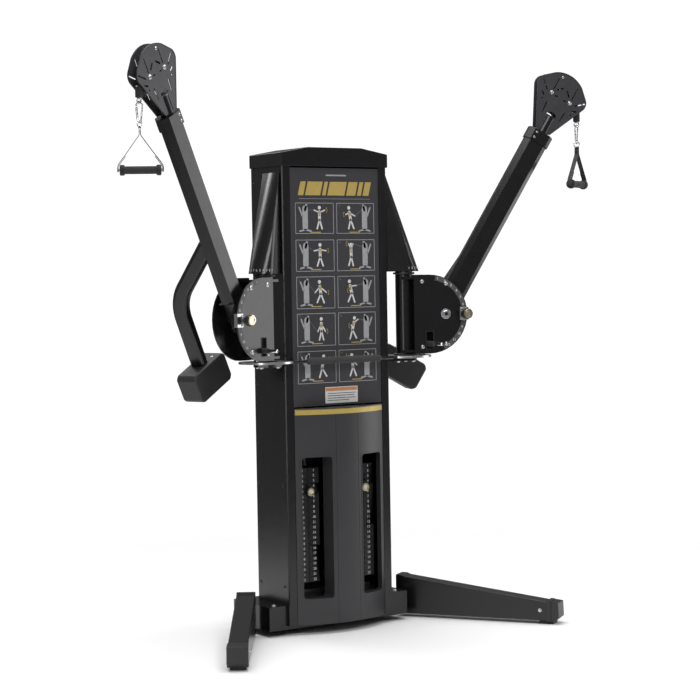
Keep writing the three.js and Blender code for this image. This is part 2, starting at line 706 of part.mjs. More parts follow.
// A flat-sided tube bent once: its centre line lies in the plane of its two ends and its bend.
function counterweightBar() {
  const { wide, thick, edge, curveR } = BAR;
  const [from, corner, to] = [BAR.from, BAR.bend, BAR.to].map((p) => new THREE.Vector3(...p));
  const first = corner.clone().sub(from).normalize();
  const second = to.clone().sub(corner).normalize();
  const normal = first.clone().cross(second).normalize();
  const across = normal.clone().cross(first);
  const turning = first.angleTo(second);
  const cutBack = curveR * Math.tan(turning / 2);
  const before = from.distanceTo(corner) - cutBack;
  const rim = (half) => {
    const points = [[0, half], [before, half]];
    for (let k = 1; k <= 8; k += 1) {
      const a = (turning * k) / 8;
      const r = curveR - half;
      points.push([before + r * Math.sin(a), curveR - r * Math.cos(a)]);
    }
    const run = corner.distanceTo(to) - cutBack;
    const [x, y] = points[points.length - 1];
    points.push([x + run * Math.cos(turning), y + run * Math.sin(turning)]);
    return points;
  };
  const shape = outline([...rim(wide / 2 - edge), ...rim(-wide / 2 + edge).reverse()]);
  const geometry = new THREE.ExtrudeGeometry(shape, {
    depth: thick - 2 * edge, bevelEnabled: true, bevelSize: edge, bevelThickness: edge, bevelSegments: 1,
  });
  const placing = new THREE.Matrix4().makeBasis(first, across, normal).setPosition(from);
  return cut(
    geometry.translate(0, 0, edge - thick / 2).applyMatrix4(placing),
    box([0, 600], [-200, ARM.halfY + GAP], [-300, 300]),
    box([-500, WEIGHT.along + WEIGHT.wide / 2 + GAP], [0, 600], [-300, 300]),
  );
}

function counterweight() {
  const { along, y, perp, long, wide, deep, edge } = WEIGHT;
  const half = wide / 2;
  const shape = outline([
    [-half + edge, -long / 2],
    [half - edge, -long / 2],
    [half, -long / 2 + edge],
    [half, long / 2 - edge],
    [half - edge, long / 2],
    [-half + edge, long / 2],
    [-half, long / 2 - edge],
    [-half, -long / 2 + edge],
  ]);
  return slab(shape, [y - deep / 2, y + deep / 2]).translate(along, 0, perp);
}

// A plate that widens from the neck to two round corners and a bowed outer edge.
function headPlate([y0, y1]) {
  const { z, apex, crownR, cornerX, cornerZ, cornerR, neck, neckHalf } = HEAD;
  const points = [[neck, -neckHalf]];
  const arc = (x, middle, r, [from, to], steps) => {
    for (let k = 0; k <= steps; k += 1) {
      const a = (from + ((to - from) * k) / steps) * RAD;
      points.push([x + r * Math.cos(a), middle + r * Math.sin(a)]);
    }
  };
  arc(cornerX, z - cornerZ, cornerR, [-118, -46], 6);
  arc(apex - crownR, z, crownR, [-34, 34], 8);
  arc(cornerX, z + cornerZ, cornerR, [46, 118], 6);
  points.push([neck, neckHalf]);
  return slab(outline(points), [y0, y1]);
}

function headHousing() {
  const { inside, thick, spigotR, neck } = HEAD;
  const far = inside + thick;
  const axle = (z) => rod('y', WHEEL.axleR, [-far - 4, far + 4], [HEAD.x, z], 10);
  const whole = join(
    headPlate([-far, -inside]),
    headPlate([inside, far]),
    box([COLLAR.to + GAP, neck + 30], [-inside - 1, inside + 1], [-34, 34]),
    rod('x', spigotR, [ARM.outer - 2, neck + 10], [0, 0], 16),
    axle(WHEEL.spread),
    axle(-WHEEL.spread),
    rod('y', 7, [-far, far], [HEAD.x + 92, 40], 10),
  );
  return cut(whole, rod('x', 9, [900, neck + 60], [0, CABLE_REACH - WHEEL.spread], 8));
}

function headWheel(z) {
  return wheel(WHEEL, 16).translate(HEAD.x, 0, z);
}

// The cable inside the arm, out between the wheels and round the outer one to where it hangs free.
function armCable(angle) {
  const z = -WHEEL.spread;
  return join(
    rod('x', CABLE_R, [ARM.inner + 10, HEAD.x + 0.5], [0, z + CABLE_REACH], 8),
    bend([HEAD.x, z], CABLE_REACH, [90, -angle], 10),
  );
}

// ---------------------------------------------------------------- what hangs from the arm
// Made about the point where the cable leaves the outer wheel, z up.

function torus(r, wire, z, turnZ = 0) {
  const geometry = new THREE.TorusGeometry(r, wire, 6, 14);
  return geometry.rotateX(Math.PI / 2).rotateZ(turnZ).translate(0, 0, z);
}

function cableStop() {
  const { r, top, bottom, stubTop, eyeZ, eyeR, wire } = STOP;
  const profile = [
    [0, bottom], [r - 5, bottom], [r, bottom + 6], [r, top - 6], [r - 5, top], [CABLE_R, top],
    [CABLE_R, stubTop], [0, stubTop],
  ];
  return join(turned('z', profile, 12), torus(eyeR, wire, eyeZ));
}

// A spring hook: one long closed link, square to the stop's eye.
function snapHook() {
  const { top, bottom, half, low, wire } = HOOK;
  const points = [];
  for (let k = 0; k < 16; k += 1) {
    const a = (k / 16) * 2 * Math.PI;
    const upper = Math.sin(a) > 0;
    const r = (upper ? half : low) - wire;
    const middle = upper ? top - r - wire : bottom + r + wire;
    points.push(new THREE.Vector3(0, r * Math.cos(a), middle + r * Math.sin(a)));
  }
  const loop = new THREE.CatmullRomCurve3(points, true, 'centripetal');
  return new THREE.ExtrudeGeometry(round(wire, 6), { extrudePath: loop, steps: 20, bevelEnabled: false });
}

// The ring, the stitched part and the two straps, with the bar that the grip turns on.
function handleStrap() {
  const { ringZ, ringR, wire, apex, stitchEnd, gripZ, half, web } = STRAP;
  const shape = outline([
    [-9, apex + 14],
    [9, apex + 14],
    [11, stitchEnd],
    [half + 8, gripZ + 26],
    [half + 8, gripZ - 8],
    [half, gripZ - 8],
    [-half, gripZ - 8],
    [-half - 8, gripZ - 8],
    [-half - 8, gripZ + 26],
    [-11, stitchEnd],
  ]);
  const window = outline([
    [0, stitchEnd - 14],
    [half - 1, gripZ + 24],
    [half - 1, gripZ - 20],
    [-half + 1, gripZ - 20],
    [-half + 1, gripZ + 24],
  ]);
  const strap = cut(slab(shape, [-web / 2, web / 2]), slab(window, [-web, web]));
  const spindle = rod('x', 7, [-half, half], [0, gripZ], 10);
  return join(strap, spindle, torus(ringR, wire, ringZ, -HANDLE_TURN * RAD));
}

function handleGrip() {
  const { half, r, capR, bore, capT } = GRIP;
  const e = half;
  const profile = [
    [bore, -e], [capR, -e], [capR, -e + capT], [r, -e + capT], [r, e - capT], [capR, e - capT],
    [capR, e], [bore, e], [bore, -e],
  ];
  return turned('x', profile, 14).translate(0, 0, STRAP.gripZ);
}

for (const [side, s] of Object.entries(SIDES)) {
  const put = (parent, name, geometry, material) => add(parent, `${side}_${name}`, sided(geometry, side), material);

  const swivel = new THREE.Group();
  swivel.position.set(s * SWIVEL.x, SWIVEL.y, 0);
  swivel.rotation.z = -s * SWIVEL.angle * RAD;
  machine.add(swivel);
  put(swivel, 'swivel_frame', swivelFrame(), BLACK);
  put(swivel, 'tilt_pin', tiltPin(), NYLON);
  put(swivel, 'swivel_lever', swivelLever(), CHROME);

  const arm = new THREE.Group();
  arm.position.set(s * PIVOT.x, 0, PIVOT.z);
  const angle = ARM_ANGLE[side] * RAD;
  arm.rotation.y = -s * angle;
  swivel.add(arm);
  put(arm, 'arm_tube', armTube(ARM_ANGLE[side]), BLACK);
  put(arm, 'counterweight_bar', counterweightBar(), BLACK);
  put(arm, 'counterweight', counterweight(), WEIGHT_GREY);
  put(arm, 'head_housing', headHousing(), BLACK);
  put(arm, 'inner_wheel', headWheel(WHEEL.spread), NYLON);
  put(arm, 'outer_wheel', headWheel(-WHEEL.spread), NYLON);
  put(arm, 'arm_cable', armCable(ARM_ANGLE[side]), CABLE);

  const hang = new THREE.Group();
  const axleX = PIVOT.x + HEAD.x * Math.cos(angle) + WHEEL.spread * Math.sin(angle);
  const axleZ = PIVOT.z + HEAD.x * Math.sin(angle) - WHEEL.spread * Math.cos(angle);
  hang.position.set(s * (axleX + CABLE_REACH), 0, axleZ);
  swivel.add(hang);
  put(hang, 'cable_stop', cableStop(), RUBBER);
  put(hang, 'snap_hook', snapHook(), CHROME);
  const handle = new THREE.Group();
  handle.rotation.z = s * HANDLE_TURN * RAD;
  hang.add(handle);
  put(handle, 'handle_strap', handleStrap(), WEBBING);
  put(handle, 'handle_grip', handleGrip(), RUBBER);
}

export default machine;
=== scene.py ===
import json
import math

import bmesh
import bpy
import numpy as np
from mathutils import Matrix, Vector


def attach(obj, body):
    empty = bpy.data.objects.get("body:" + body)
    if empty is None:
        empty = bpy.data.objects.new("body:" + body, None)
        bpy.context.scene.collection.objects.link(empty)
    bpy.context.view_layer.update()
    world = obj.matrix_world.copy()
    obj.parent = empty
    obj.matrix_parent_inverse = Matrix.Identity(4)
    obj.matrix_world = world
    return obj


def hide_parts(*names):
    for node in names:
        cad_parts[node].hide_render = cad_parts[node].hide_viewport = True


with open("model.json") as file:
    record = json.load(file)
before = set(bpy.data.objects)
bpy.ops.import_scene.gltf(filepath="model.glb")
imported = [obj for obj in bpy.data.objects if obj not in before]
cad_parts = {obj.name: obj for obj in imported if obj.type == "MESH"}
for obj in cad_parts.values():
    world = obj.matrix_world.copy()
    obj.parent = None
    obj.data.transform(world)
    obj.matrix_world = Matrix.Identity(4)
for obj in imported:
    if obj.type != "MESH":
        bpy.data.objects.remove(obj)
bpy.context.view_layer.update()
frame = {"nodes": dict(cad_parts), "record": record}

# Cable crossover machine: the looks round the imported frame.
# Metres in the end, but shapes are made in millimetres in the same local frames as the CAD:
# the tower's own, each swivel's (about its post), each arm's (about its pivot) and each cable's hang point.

NODES = frame["nodes"]
BODY_OF = {n: b for b, ns in frame["record"]["behaviour"]["bodies"].items() for n in ns}

# ---------------------------------------------------------------- dimensions, in millimetres

CENTRE_X, CENTRE_Y = -26.16, 222
TOWER = dict(half=294, front=-136, back=136, top=2186)
SWIVEL_AT = (394, -130)
SWIVEL_TURN = math.radians(20.4)
INDEX_TOP = 1286.3
PIVOT = (187, 1483)
TILTS = {"right": math.radians(59.4), "left": math.radians(62.5)}
TILT_R = 92
PLATE_CENTRE, PLATE_NEAR, PLATE_FAR = 105, 65, 73
HEAD_X, HEAD_Z = 1210, 6
SPREAD = 53
CABLE_REACH = 43
HANDLE_TURN = math.radians(47)
STACK_X, STACK_BOTTOM, PLATE_PITCH, PLATES_LEFT, PLATES_LIFTED = 155, 236, 24.5, 17, 5
STACK_FRONT, STACK_BACK = -98, 92
GRIP_Z = -394

MM = Matrix.Scale(0.001, 4)
SIDES = {"right": 1, "left": -1}


def turn(angle, axis):
    return Matrix.Rotation(angle, 4, axis)


def shift(x, y, z):
    return Matrix.Translation((x, y, z))


MACHINE = shift(CENTRE_X, CENTRE_Y, 0)
SWIVEL = MACHINE @ shift(*SWIVEL_AT, 0) @ turn(-SWIVEL_TURN, "Z")
ARM = {side: SWIVEL @ shift(PIVOT[0], 0, PIVOT[1]) @ turn(-tilt, "Y") for side, tilt in TILTS.items()}
HANG = {
    side: SWIVEL @ shift(
        PIVOT[0] + HEAD_X * math.cos(tilt) + SPREAD * math.sin(tilt) + CABLE_REACH, 0,
        PIVOT[1] + HEAD_X * math.sin(tilt) - SPREAD * math.cos(tilt))
    for side, tilt in TILTS.items()
}
RUN_ANGLE = math.atan2(SWIVEL_AT[1], SWIVEL_AT[0] - STACK_X)
RUN = MACHINE @ shift(STACK_X, 0, 0) @ turn(RUN_ANGLE, "Z")
MIRROR = shift(2 * CENTRE_X, 0, 0) @ Matrix.Scale(-1, 4, (1, 0, 0))


# ---------------------------------------------------------------- materials


class Nodes:
    """A short way to write a node tree."""

    def __init__(self, name):
        self.material = bpy.data.materials.new(name)
        self.material.use_nodes = True
        self.tree = self.material.node_tree
        self.shader = self.tree.nodes["Principled BSDF"]
        self.coord = self.tree.nodes.new("ShaderNodeTexCoord").outputs["Object"]

    def add(self, kind, inputs=None, **settings):
        node = self.tree.nodes.new("ShaderNode" + kind)
        for key, value in settings.items():
            setattr(node, key, value)
        for key, value in (inputs or {}).items():
            self.put(node.inputs[key], value)
        return node

    def put(self, socket, value):
        if isinstance(value, bpy.types.NodeSocket):
            self.tree.links.new(value, socket)
        else:
            socket.default_value = value

    def set(self, **values):
        for key, value in values.items():
            self.put(self.shader.inputs[key.replace("_", " ")], value)

    def scaled(self, scale):
        return self.add("Mapping", {"Vector": self.coord, "Scale": scale}).outputs[0]

    def noise(self, scale, detail=2.0, vector=None, rough=0.5):
        inputs = {"Vector": vector or self.coord, "Scale": scale, "Detail": detail, "Roughness": rough}
        return self.add("TexNoise", inputs).outputs["Fac"]

    def span(self, value, low, high, start=0.3, end=0.7):
        """value, taken from start..end to low..high."""
        inputs = {"Value": value, "From Min": start, "From Max": end, "To Min": low, "To Max": high}
        return self.add("MapRange", inputs).outputs[0]

    def mix(self, factor, a, b):
        node = self.add("Mix", data_type="RGBA")
        self.put(node.inputs["Factor"], factor)
        self.put(node.inputs[6], a)
        self.put(node.inputs[7], b)
        return node.outputs[2]

    def math(self, operation, *values):
        node = self.add("Math", operation=operation)
        for socket, value in zip(node.inputs, values):
            self.put(socket, value)
        return node.outputs[0]

    def bump(self, height, strength, distance, under=None):
        inputs = {"Height": height, "Strength": strength, "Distance": distance}
        if under is not None:
            inputs["Normal"] = under
        return self.add("Bump", inputs).outputs[0]


def rgb(r, g=None, b=None):
    return (r, r if g is None else g, r if b is None else b, 1.0)


def tint(color, factor):
    return tuple(min(1.0, c * factor) for c in color[:3]) + (1.0,)


def edge_mask(n, start=0.535, end=0.66):
    """Brighter where an edge or corner sticks out."""
    pointiness = n.add("NewGeometry").outputs["Pointiness"]
    return n.span(pointiness, 0.0, 1.0, start, end)


def coated(name, base, rough, grain=700.0, grain_strength=0.04, worn=1.5, metallic=0.0, spread=0.07):
    """Powder coat or moulded plastic: a fine pebbled skin, faint clouds in colour and gloss, rubbed edges."""
    n = Nodes(name)
    clouds = n.noise(5.0, 4.0)
    smudges = n.noise(22.0, 5.0, rough=0.65)
    colour = n.mix(n.span(clouds, 0.0, 1.0), tint(base, 1 - spread), tint(base, 1 + spread))
    rubbed = n.math("MULTIPLY", edge_mask(n), n.span(smudges, 0.1, 0.8))
    colour = n.mix(rubbed, colour, tint(base, worn))
    skin = n.noise(grain, 2.0)
    n.set(Base_Color=colour, Roughness=n.span(smudges, rough - 0.02, rough + 0.03), Metallic=metallic)
    n.set(Normal=n.bump(skin, grain_strength, 0.0006))
    n.shader.inputs["Specular IOR Level"].default_value = 0.5
    return n.material


def plated(name, base, rough, streak=(900.0, 900.0, 30.0), strength=0.05):
    """Bright metal with fine brushing or polishing streaks along one direction."""
    n = Nodes(name)
    lines = n.noise(1.0, 3.0, n.scaled(streak))
    spots = n.noise(60.0, 4.0)
    n.set(Base_Color=n.mix(n.span(spots, 0.0, 1.0), tint(base, 0.86), tint(base, 1.06)), Metallic=1.0)
    n.set(Roughness=n.span(lines, rough * 0.75, rough * 1.4), Normal=n.bump(lines, strength, 0.0004))
    return n.material


def printed(name, base, rough=0.5, metallic=0.0):
    """Screen print or vinyl: a thin flat film with a slight mottle."""
    n = Nodes(name)
    mottle = n.noise(140.0, 3.0)
    n.set(Base_Color=n.mix(n.span(mottle, 0.0, 1.0), tint(base, 0.92), tint(base, 1.05)), Metallic=metallic)
    n.set(Roughness=n.span(n.noise(40.0), rough - 0.06, rough + 0.06), Normal=n.bump(mottle, 0.03, 0.0003))
    return n.material


def cast(name, base, rough):
    """Textured coat on cast iron: coarse pebbles with soft rubbed tops."""
    n = Nodes(name)
    cells = n.add("TexVoronoi", {"Vector": n.coord, "Scale": 420.0, "Smoothness": 0.8}, feature="SMOOTH_F1")
    pebbles = cells.outputs["Distance"]
    fine = n.noise(900.0, 2.0)
    clouds = n.noise(9.0, 4.0)
    colour = n.mix(n.span(clouds, 0.0, 1.0), tint(base, 0.85), tint(base, 1.15))
    colour = n.mix(n.span(pebbles, 0.35, 0.0, 0.0, 0.35), colour, tint(base, 1.7))
    n.set(Base_Color=colour, Roughness=n.span(clouds, rough - 0.06, rough + 0.06))
    first = n.bump(pebbles, 0.35, -0.0012)
    n.set(Normal=n.bump(fine, 0.12, 0.0005, first))
    return n.material


def foam(name, base, rough=0.85):
    """Foam or ribbed rubber: matt with a fine closed-cell skin."""
    n = Nodes(name)
    cells = n.add("TexVoronoi", {"Vector": n.coord, "Scale": 1300.0}, feature="F1").outputs["Distance"]
    clouds = n.noise(30.0, 4.0)
    colour = n.mix(n.span(clouds, 0.0, 1.0), tint(base, 0.8), tint(base, 1.3))
    colour = n.mix(n.math("MULTIPLY", edge_mask(n), 0.35), colour, tint(base, 2.2))
    n.set(Base_Color=colour, Roughness=n.span(clouds, rough - 0.08, rough + 0.08))
    n.set(Normal=n.bump(cells, 0.25, 0.0006))
    n.shader.inputs["Sheen Weight"].default_value = 0.12
    return n.material


def woven(name, base, yarn=1.1):
    """Flat nylon webbing: a plain weave of glossy yarns, yarn millimetres apart."""
    n = Nodes(name)
    k = 2 * math.pi / (yarn * 0.001)
    split = n.add("SeparateXYZ", {"Vector": n.coord})
    across = n.math("SINE", n.math("MULTIPLY", split.outputs[0], k))
    depth = n.math("SINE", n.math("MULTIPLY", split.outputs[1], k))
    along = n.math("SINE", n.math("MULTIPLY", split.outputs[2], k))
    weave = n.math("ADD", n.math("MULTIPLY", across, along), n.math("MULTIPLY", depth, along))
    fuzz = n.noise(1600.0, 3.0)
    colour = n.mix(n.span(weave, 0.0, 1.0, -1.0, 1.0), tint(base, 0.55), tint(base, 1.6))
    colour = n.mix(n.span(n.noise(35.0, 4.0), 0.0, 0.45), colour, tint(base, 2.2))
    n.set(Base_Color=colour, Roughness=n.span(fuzz, 0.6, 0.85))
    n.set(Normal=n.bump(fuzz, 0.1, 0.0003, n.bump(weave, 0.5, 0.0005)))
    n.shader.inputs["Sheen Weight"].default_value = 0.3
    n.shader.inputs["Sheen Roughness"].default_value = 0.4
    return n.material


def rope(name, base, pitch=9.0):
    """Nylon-coated wire rope: a faint lay showing through a satin jacket."""
    n = Nodes(name)
    wave = n.add("TexWave", {"Vector": n.scaled((1.0, 1.0, 1.0)), "Scale": 1000.0 / pitch,
        "Distortion": 0.6},
                 wave_type="BANDS", bands_direction="DIAGONAL")
    clouds = n.noise(40.0, 3.0)
    n.set(Base_Color=n.mix(n.span(clouds, 0.0, 1.0), tint(base, 0.8), tint(base, 1.3)))
    n.set(Roughness=n.span(clouds, 0.32, 0.46), Normal=n.bump(wave.outputs["Fac"], 0.12, 0.0004))
    return n.material


BLACK = coated("black_powder_coat", rgb(0.0062, 0.0062, 0.0070), 0.24, 700.0, 0.015)
CHARCOAL = coated("charcoal_plastic", rgb(0.030, 0.0285, 0.031), 0.42, 900.0, 0.10, 1.3)
PLACARD = coated("placard_film", rgb(0.034, 0.0325, 0.0355), 0.40, 1500.0, 0.03, 1.2)
TRIM = coated("moulded_black", rgb(0.012, 0.012, 0.013), 0.42, 1100.0, 0.16, 2.0)
# near black: used for the printed index digits, and as painted shade standing in for the stack plates' pin holes
HOLE_SHADE_AND_DARK_PRINT = coated("painted_hole_shade_and_dark_print", rgb(0.004), 0.7, 600.0, 0.05, 1.2)
WEIGHT = cast("textured_iron", rgb(0.030, 0.029, 0.030), 0.55)
STACK_IRON = coated("stack_iron", rgb(0.011, 0.011, 0.012), 0.35, 500.0, 0.20, 3.0)
RUBBER = foam("rubber", rgb(0.012, 0.012, 0.0125), 0.75)
FOAM = foam("foam_grip", rgb(0.028, 0.027, 0.028), 0.85)
NYLON = coated("nylon_wheel", rgb(0.010, 0.010, 0.011), 0.45, 800.0, 0.10, 2.0)
SILVER = plated("brushed_silver", rgb(0.62, 0.62, 0.63), 0.28, (700.0, 40.0, 700.0))
CHROME = plated("chrome", rgb(0.78, 0.78, 0.80), 0.10, (500.0, 500.0, 500.0), 0.02)
DULL_STEEL = plated("dull_steel", rgb(0.16, 0.16, 0.165), 0.35, (900.0, 900.0, 40.0))
ZINC = plated("zinc_plate", rgb(0.60, 0.60, 0.61), 0.24, (900.0, 900.0, 900.0), 0.06)
GOLD = plated("gold_anodised", rgb(0.62, 0.50, 0.24), 0.26, (600.0, 600.0, 60.0))
GOLD_PRINT = printed("gold_print", rgb(0.50, 0.37, 0.10), 0.45, 0.25)
WHITE_PRINT = printed("white_print", rgb(0.62, 0.62, 0.63), 0.5)
GREY_PRINT = printed("grey_print", rgb(0.16, 0.155, 0.165), 0.5)
MID_PRINT = printed("mid_print", rgb(0.33, 0.33, 0.34), 0.5)
DIM_PRINT = printed("dim_print", rgb(0.075, 0.073, 0.078), 0.5)
ORANGE_PRINT = printed("orange_print", rgb(0.50, 0.22, 0.09), 0.5)
LABEL_WHITE = printed("label_white", rgb(0.66, 0.655, 0.64), 0.55)
WEBBING = woven("nylon_webbing", rgb(0.018, 0.018, 0.019))
STITCH = woven("stitch_thread", rgb(0.05, 0.05, 0.052), 0.5)
CABLE = rope("coated_cable", rgb(0.012, 0.012, 0.013))
WHITE_CAP = coated("white_button", rgb(0.62, 0.61, 0.58), 0.35, 600.0, 0.04, 1.05)

FINISH = {
    "black_paint": BLACK, "charcoal_paint": CHARCOAL, "silver": SILVER, "chrome": CHROME,
        "weight_grey": WEIGHT,
    "rubber": RUBBER, "cable": CABLE, "nylon": NYLON, "webbing": WEBBING,
}
SLOT_OF = {s["node"]: s["material_slot"] for s in frame["record"]["subparts"]}

# ---------------------------------------------------------------- shapes


def new_form():
    return bmesh.new()


def moved(form, matrix):
    bmesh.ops.transform(form, matrix=matrix, verts=form.verts)
    if matrix.determinant() < 0:
        bmesh.ops.reverse_faces(form, faces=form.faces)
    return form


def outward(form):
    bmesh.ops.recalc_face_normals(form, faces=form.faces)
    return form


def soften(form, width, angle=28, segments=2):
    """Rounds every edge that turns by more than an angle."""
    limit = math.radians(angle)
    sharp = [e for e in form.edges if len(e.link_faces) == 2 and e.calc_face_angle(0) > limit]
    bmesh.ops.bevel(form, geom=sharp, offset=width, segments=segments, profile=0.5, affect="EDGES",
        clamp_overlap=True)
    return form


def box(x, y, z, round_=0.0, segments=2):
    form = new_form()
    bmesh.ops.create_cube(form, size=1.0)
    size = Matrix.Diagonal((x[1] - x[0], y[1] - y[0], z[1] - z[0], 1.0))
    middle = shift((x[0] + x[1]) / 2, (y[0] + y[1]) / 2, (z[0] + z[1]) / 2)
    moved(form, middle @ size)
    return soften(form, round_, 10, segments) if round_ else form


def prism(points, low, high, round_=0.0, axis="Z", segments=2):
    """An outline extruded along an axis: its points are (x, y) for Z, (x, z) for Y and (y, z) for X."""
    form = new_form()
    basis = {
        "Z": lambda p, t: (p[0], p[1], t),
        "Y": lambda p, t: (p[0], t, p[1]),
        "X": lambda p, t: (t, p[0], p[1]),
    }[axis]
    rims = [[form.verts.new(basis(p, t)) for p in points] for t in (low, high)]
    count = len(points)
    form.faces.new(rims[0])
    form.faces.new(rims[1])
    for k in range(count):
        m = (k + 1) % count
        form.faces.new([rims[0][k], rims[0][m], rims[1][m], rims[1][k]])
    outward(form)
    return soften(form, round_, 25, segments) if round_ else form


def lathe(profile, axis="Z", sides=48, centre=(0, 0, 0)):
    """Turns (radius, place along the axis) round an axis. A radius of 0 at an end closes it."""
    form = new_form()
    rings = []
    for r, t in profile:
        if r == 0:
            rings.append([form.verts.new((0, 0, t))])
        else:
            angles = [2 * math.pi * k / sides for k in range(sides)]
            rings.append([form.verts.new((r * math.cos(a), r * math.sin(a), t)) for a in angles])
    pairs = list(zip(rings, rings[1:]))
    if len(rings[0]) > 1 and len(rings[-1]) > 1:
        pairs.append((rings[-1], rings[0]))
    for a, b in pairs:
        for k in range(sides):
            m = (k + 1) % sides
            if len(a) == 1 and len(b) == 1:
                continue
            if len(a) == 1:
                form.faces.new([a[0], b[m], b[k]])
            elif len(b) == 1:
                form.faces.new([a[k], a[m], b[0]])
            else:
                form.faces.new([a[k], a[m], b[m], b[k]])
    outward(form)
    turned = {"Z": Matrix.Identity(4), "X": turn(math.pi / 2, "Y"), "Y": turn(-math.pi / 2, "X")}[axis]
    return moved(form, shift(*centre) @ turned)


def tube(points, r, sides=12, closed=False, flat=None, up=None):
    """A bar along a path, round, or with a (half width, half thickness) section when flat is given."""
    pts = [Vector(p) for p in points]
    count = len(pts)
    form = new_form()
    if flat:
        a, b = flat
        c = min(a, b) * 0.45
        section = [(a, b - c), (a - c, b), (c - a, b), (-a, b - c), (-a, c - b), (c - a, -b), (a - c, -b),
            (a, c - b)]
    else:
        section = [(r * math.cos(2 * math.pi * k / sides),
            r * math.sin(2 * math.pi * k / sides)) for k in range(sides)]
    normal = Vector(up) if up else None
    rings = []
    for k, p in enumerate(pts):
        if closed:
            tangent = (pts[(k + 1) % count] - pts[k - 1]).normalized()
        else:
            tangent = (pts[min(k + 1, count - 1)] - pts[max(k - 1, 0)]).normalized()
        if normal is None:
            normal = tangent.orthogonal().normalized()
        normal = (normal - tangent * normal.dot(tangent)).normalized()
        side = tangent.cross(normal)
        rings.append([form.verts.new(p + side * x + normal * y) for x, y in section])
    size = len(section)
    links = [(k, (k + 1) % count) for k in range(count if closed else count - 1)]
    for a, b in links:
        for k in range(size):
            m = (k + 1) % size
            form.faces.new([rings[a][k], rings[a][m], rings[b][m], rings[b][k]])
    if not closed:
        form.faces.new(rings[0])
        form.faces.new(rings[-1])
    return outward(form)


def smooth_path(points, steps, closed=False):
    """Catmull-Rom points through the given ones."""
    pts = [Vector(p) for p in points]
    count = len(pts)
    out = []
    for k in range(count if closed else count - 1):
        if closed:
            p0, p1, p2, p3 = (pts[(k + d) % count] for d in (-1, 0, 1, 2))
        else:
            p0, p1, p2, p3 = (pts[min(max(k + d, 0), count - 1)] for d in (-1, 0, 1, 2))
        for j in range(steps):
            t = j / steps
            out.append(0.5 * (2 * p1 + (p2 - p0) * t + (2 * p0 - 5 * p1 + 4 * p2 - p3) * t * t
                              + (3 * p1 - p0 - 3 * p2 + p3) * t ** 3))
    if not closed:
        out.append(pts[-1])
    return out


def arc(cx, cy, r, start, end, steps):
    """Points on a circle from one angle to another, in degrees."""
    angles = [math.radians(start + (end - start) * k / steps) for k in range(steps + 1)]
    return [(cx + r * math.cos(a), cy + r * math.sin(a)) for a in angles]


def hull(points):
    form = new_form()
    for p in points:
        form.verts.new(p)
    bmesh.ops.convex_hull(form, input=form.verts)
    loose = [v for v in form.verts if not v.link_faces]
    bmesh.ops.delete(form, geom=loose, context="VERTS")
    return outward(form)


def as_object(form, name="scratch"):
    mesh = bpy.data.meshes.new(name)
    form.to_mesh(mesh)
    form.free()
    made = bpy.data.objects.new(name, mesh)
    bpy.context.scene.collection.objects.link(made)
    return made


def boolean(form, tools, operation="DIFFERENCE"):
    """form with the tools cut away or added."""
    base = as_object(form)
    others = [as_object(t, "tool") for t in tools]
    for other in others:
        change = base.modifiers.new("cut", "BOOLEAN")
        change.operation = operation
        change.solver = "EXACT"
        change.object = other
    bpy.context.view_layer.update()
    graph = bpy.context.evaluated_depsgraph_get()
    mesh = bpy.data.meshes.new_from_object(base.evaluated_get(graph))
    result = new_form()
    result.from_mesh(mesh)
    for scrap in [base, *others]:
        data = scrap.data
        bpy.data.objects.remove(scrap)
        bpy.data.meshes.remove(data)
    bpy.data.meshes.remove(mesh)
    return result


def joined(*forms):
    whole = new_form()
    for form in forms:
        mesh = bpy.data.meshes.new("part")
        form.to_mesh(mesh)
        whole.from_mesh(mesh)
        form.free()
        bpy.data.meshes.remove(mesh)
    return whole


def lettered(text, size, depth=0.25, bold=0.0):
    """Digits as a thin raised form, centred, reading along +X with their tops towards +Y."""
    curve = bpy.data.curves.new("digits", "FONT")
    curve.body = text
    curve.size = size
    curve.extrude = depth / 2
    curve.offset = bold
    curve.align_x = "CENTER"
    curve.align_y = "CENTER"
    curve.resolution_u = 3
    made = bpy.data.objects.new("digits", curve)
    bpy.context.scene.collection.objects.link(made)
    bpy.context.view_layer.update()
    graph = bpy.context.evaluated_depsgraph_get()
    mesh = bpy.data.meshes.new_from_object(made.evaluated_get(graph))
    form = new_form()
    form.from_mesh(mesh)
    bmesh.ops.remove_doubles(form, verts=form.verts, dist=size * 0.0005)
    bpy.data.objects.remove(made)
    bpy.data.curves.remove(curve)
    bpy.data.meshes.remove(mesh)
    return form


# ---------------------------------------------------------------- pieces


def piece(name, body, parts, matrix, replaces=(), sharp=32):
    """One visible piece: parts are (form, material) pairs in millimetres, matrix takes them to the row frame."""
    whole = new_form()
    materials = []
    for form, material in parts:
        if material not in materials:
            materials.append(material)
        index = materials.index(material)
        for face in form.faces:
            face.material_index = index
        mesh = bpy.data.meshes.new("part")
        form.to_mesh(mesh)
        form.free()
        whole.from_mesh(mesh)
        bpy.data.meshes.remove(mesh)
    moved(whole, matrix)
    made = as_object(whole, name)
    for material in materials:
        made.data.materials.append(material)
    made.data.polygons.foreach_set("use_smooth", [True] * len(made.data.polygons))
    made.data.set_sharp_from_angle(angle=math.radians(sharp))
    weigh = made.modifiers.new("weighted", "WEIGHTED_NORMAL")
    weigh.keep_sharp = True
    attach(made, body)
    if replaces:
        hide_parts(*replaces)
    return made


def refined(node, material, width=1.2, angle=28, segments=2, name=None):
    """A CAD node's own shape with its edges rounded, standing for that node."""
    form = new_form()
    form.from_mesh(NODES[node].data)
    bmesh.ops.remove_doubles(form, verts=form.verts, dist=1e-5)
    bmesh.ops.dissolve_limit(form, angle_limit=math.radians(0.6), verts=form.verts, edges=form.edges)
    moved(form, Matrix.Scale(1000, 4))
    if width:
        soften(form, width, angle, segments)
    return piece(name or f"{node}_shell", BODY_OF[node], [(form, material)], MM, [node])


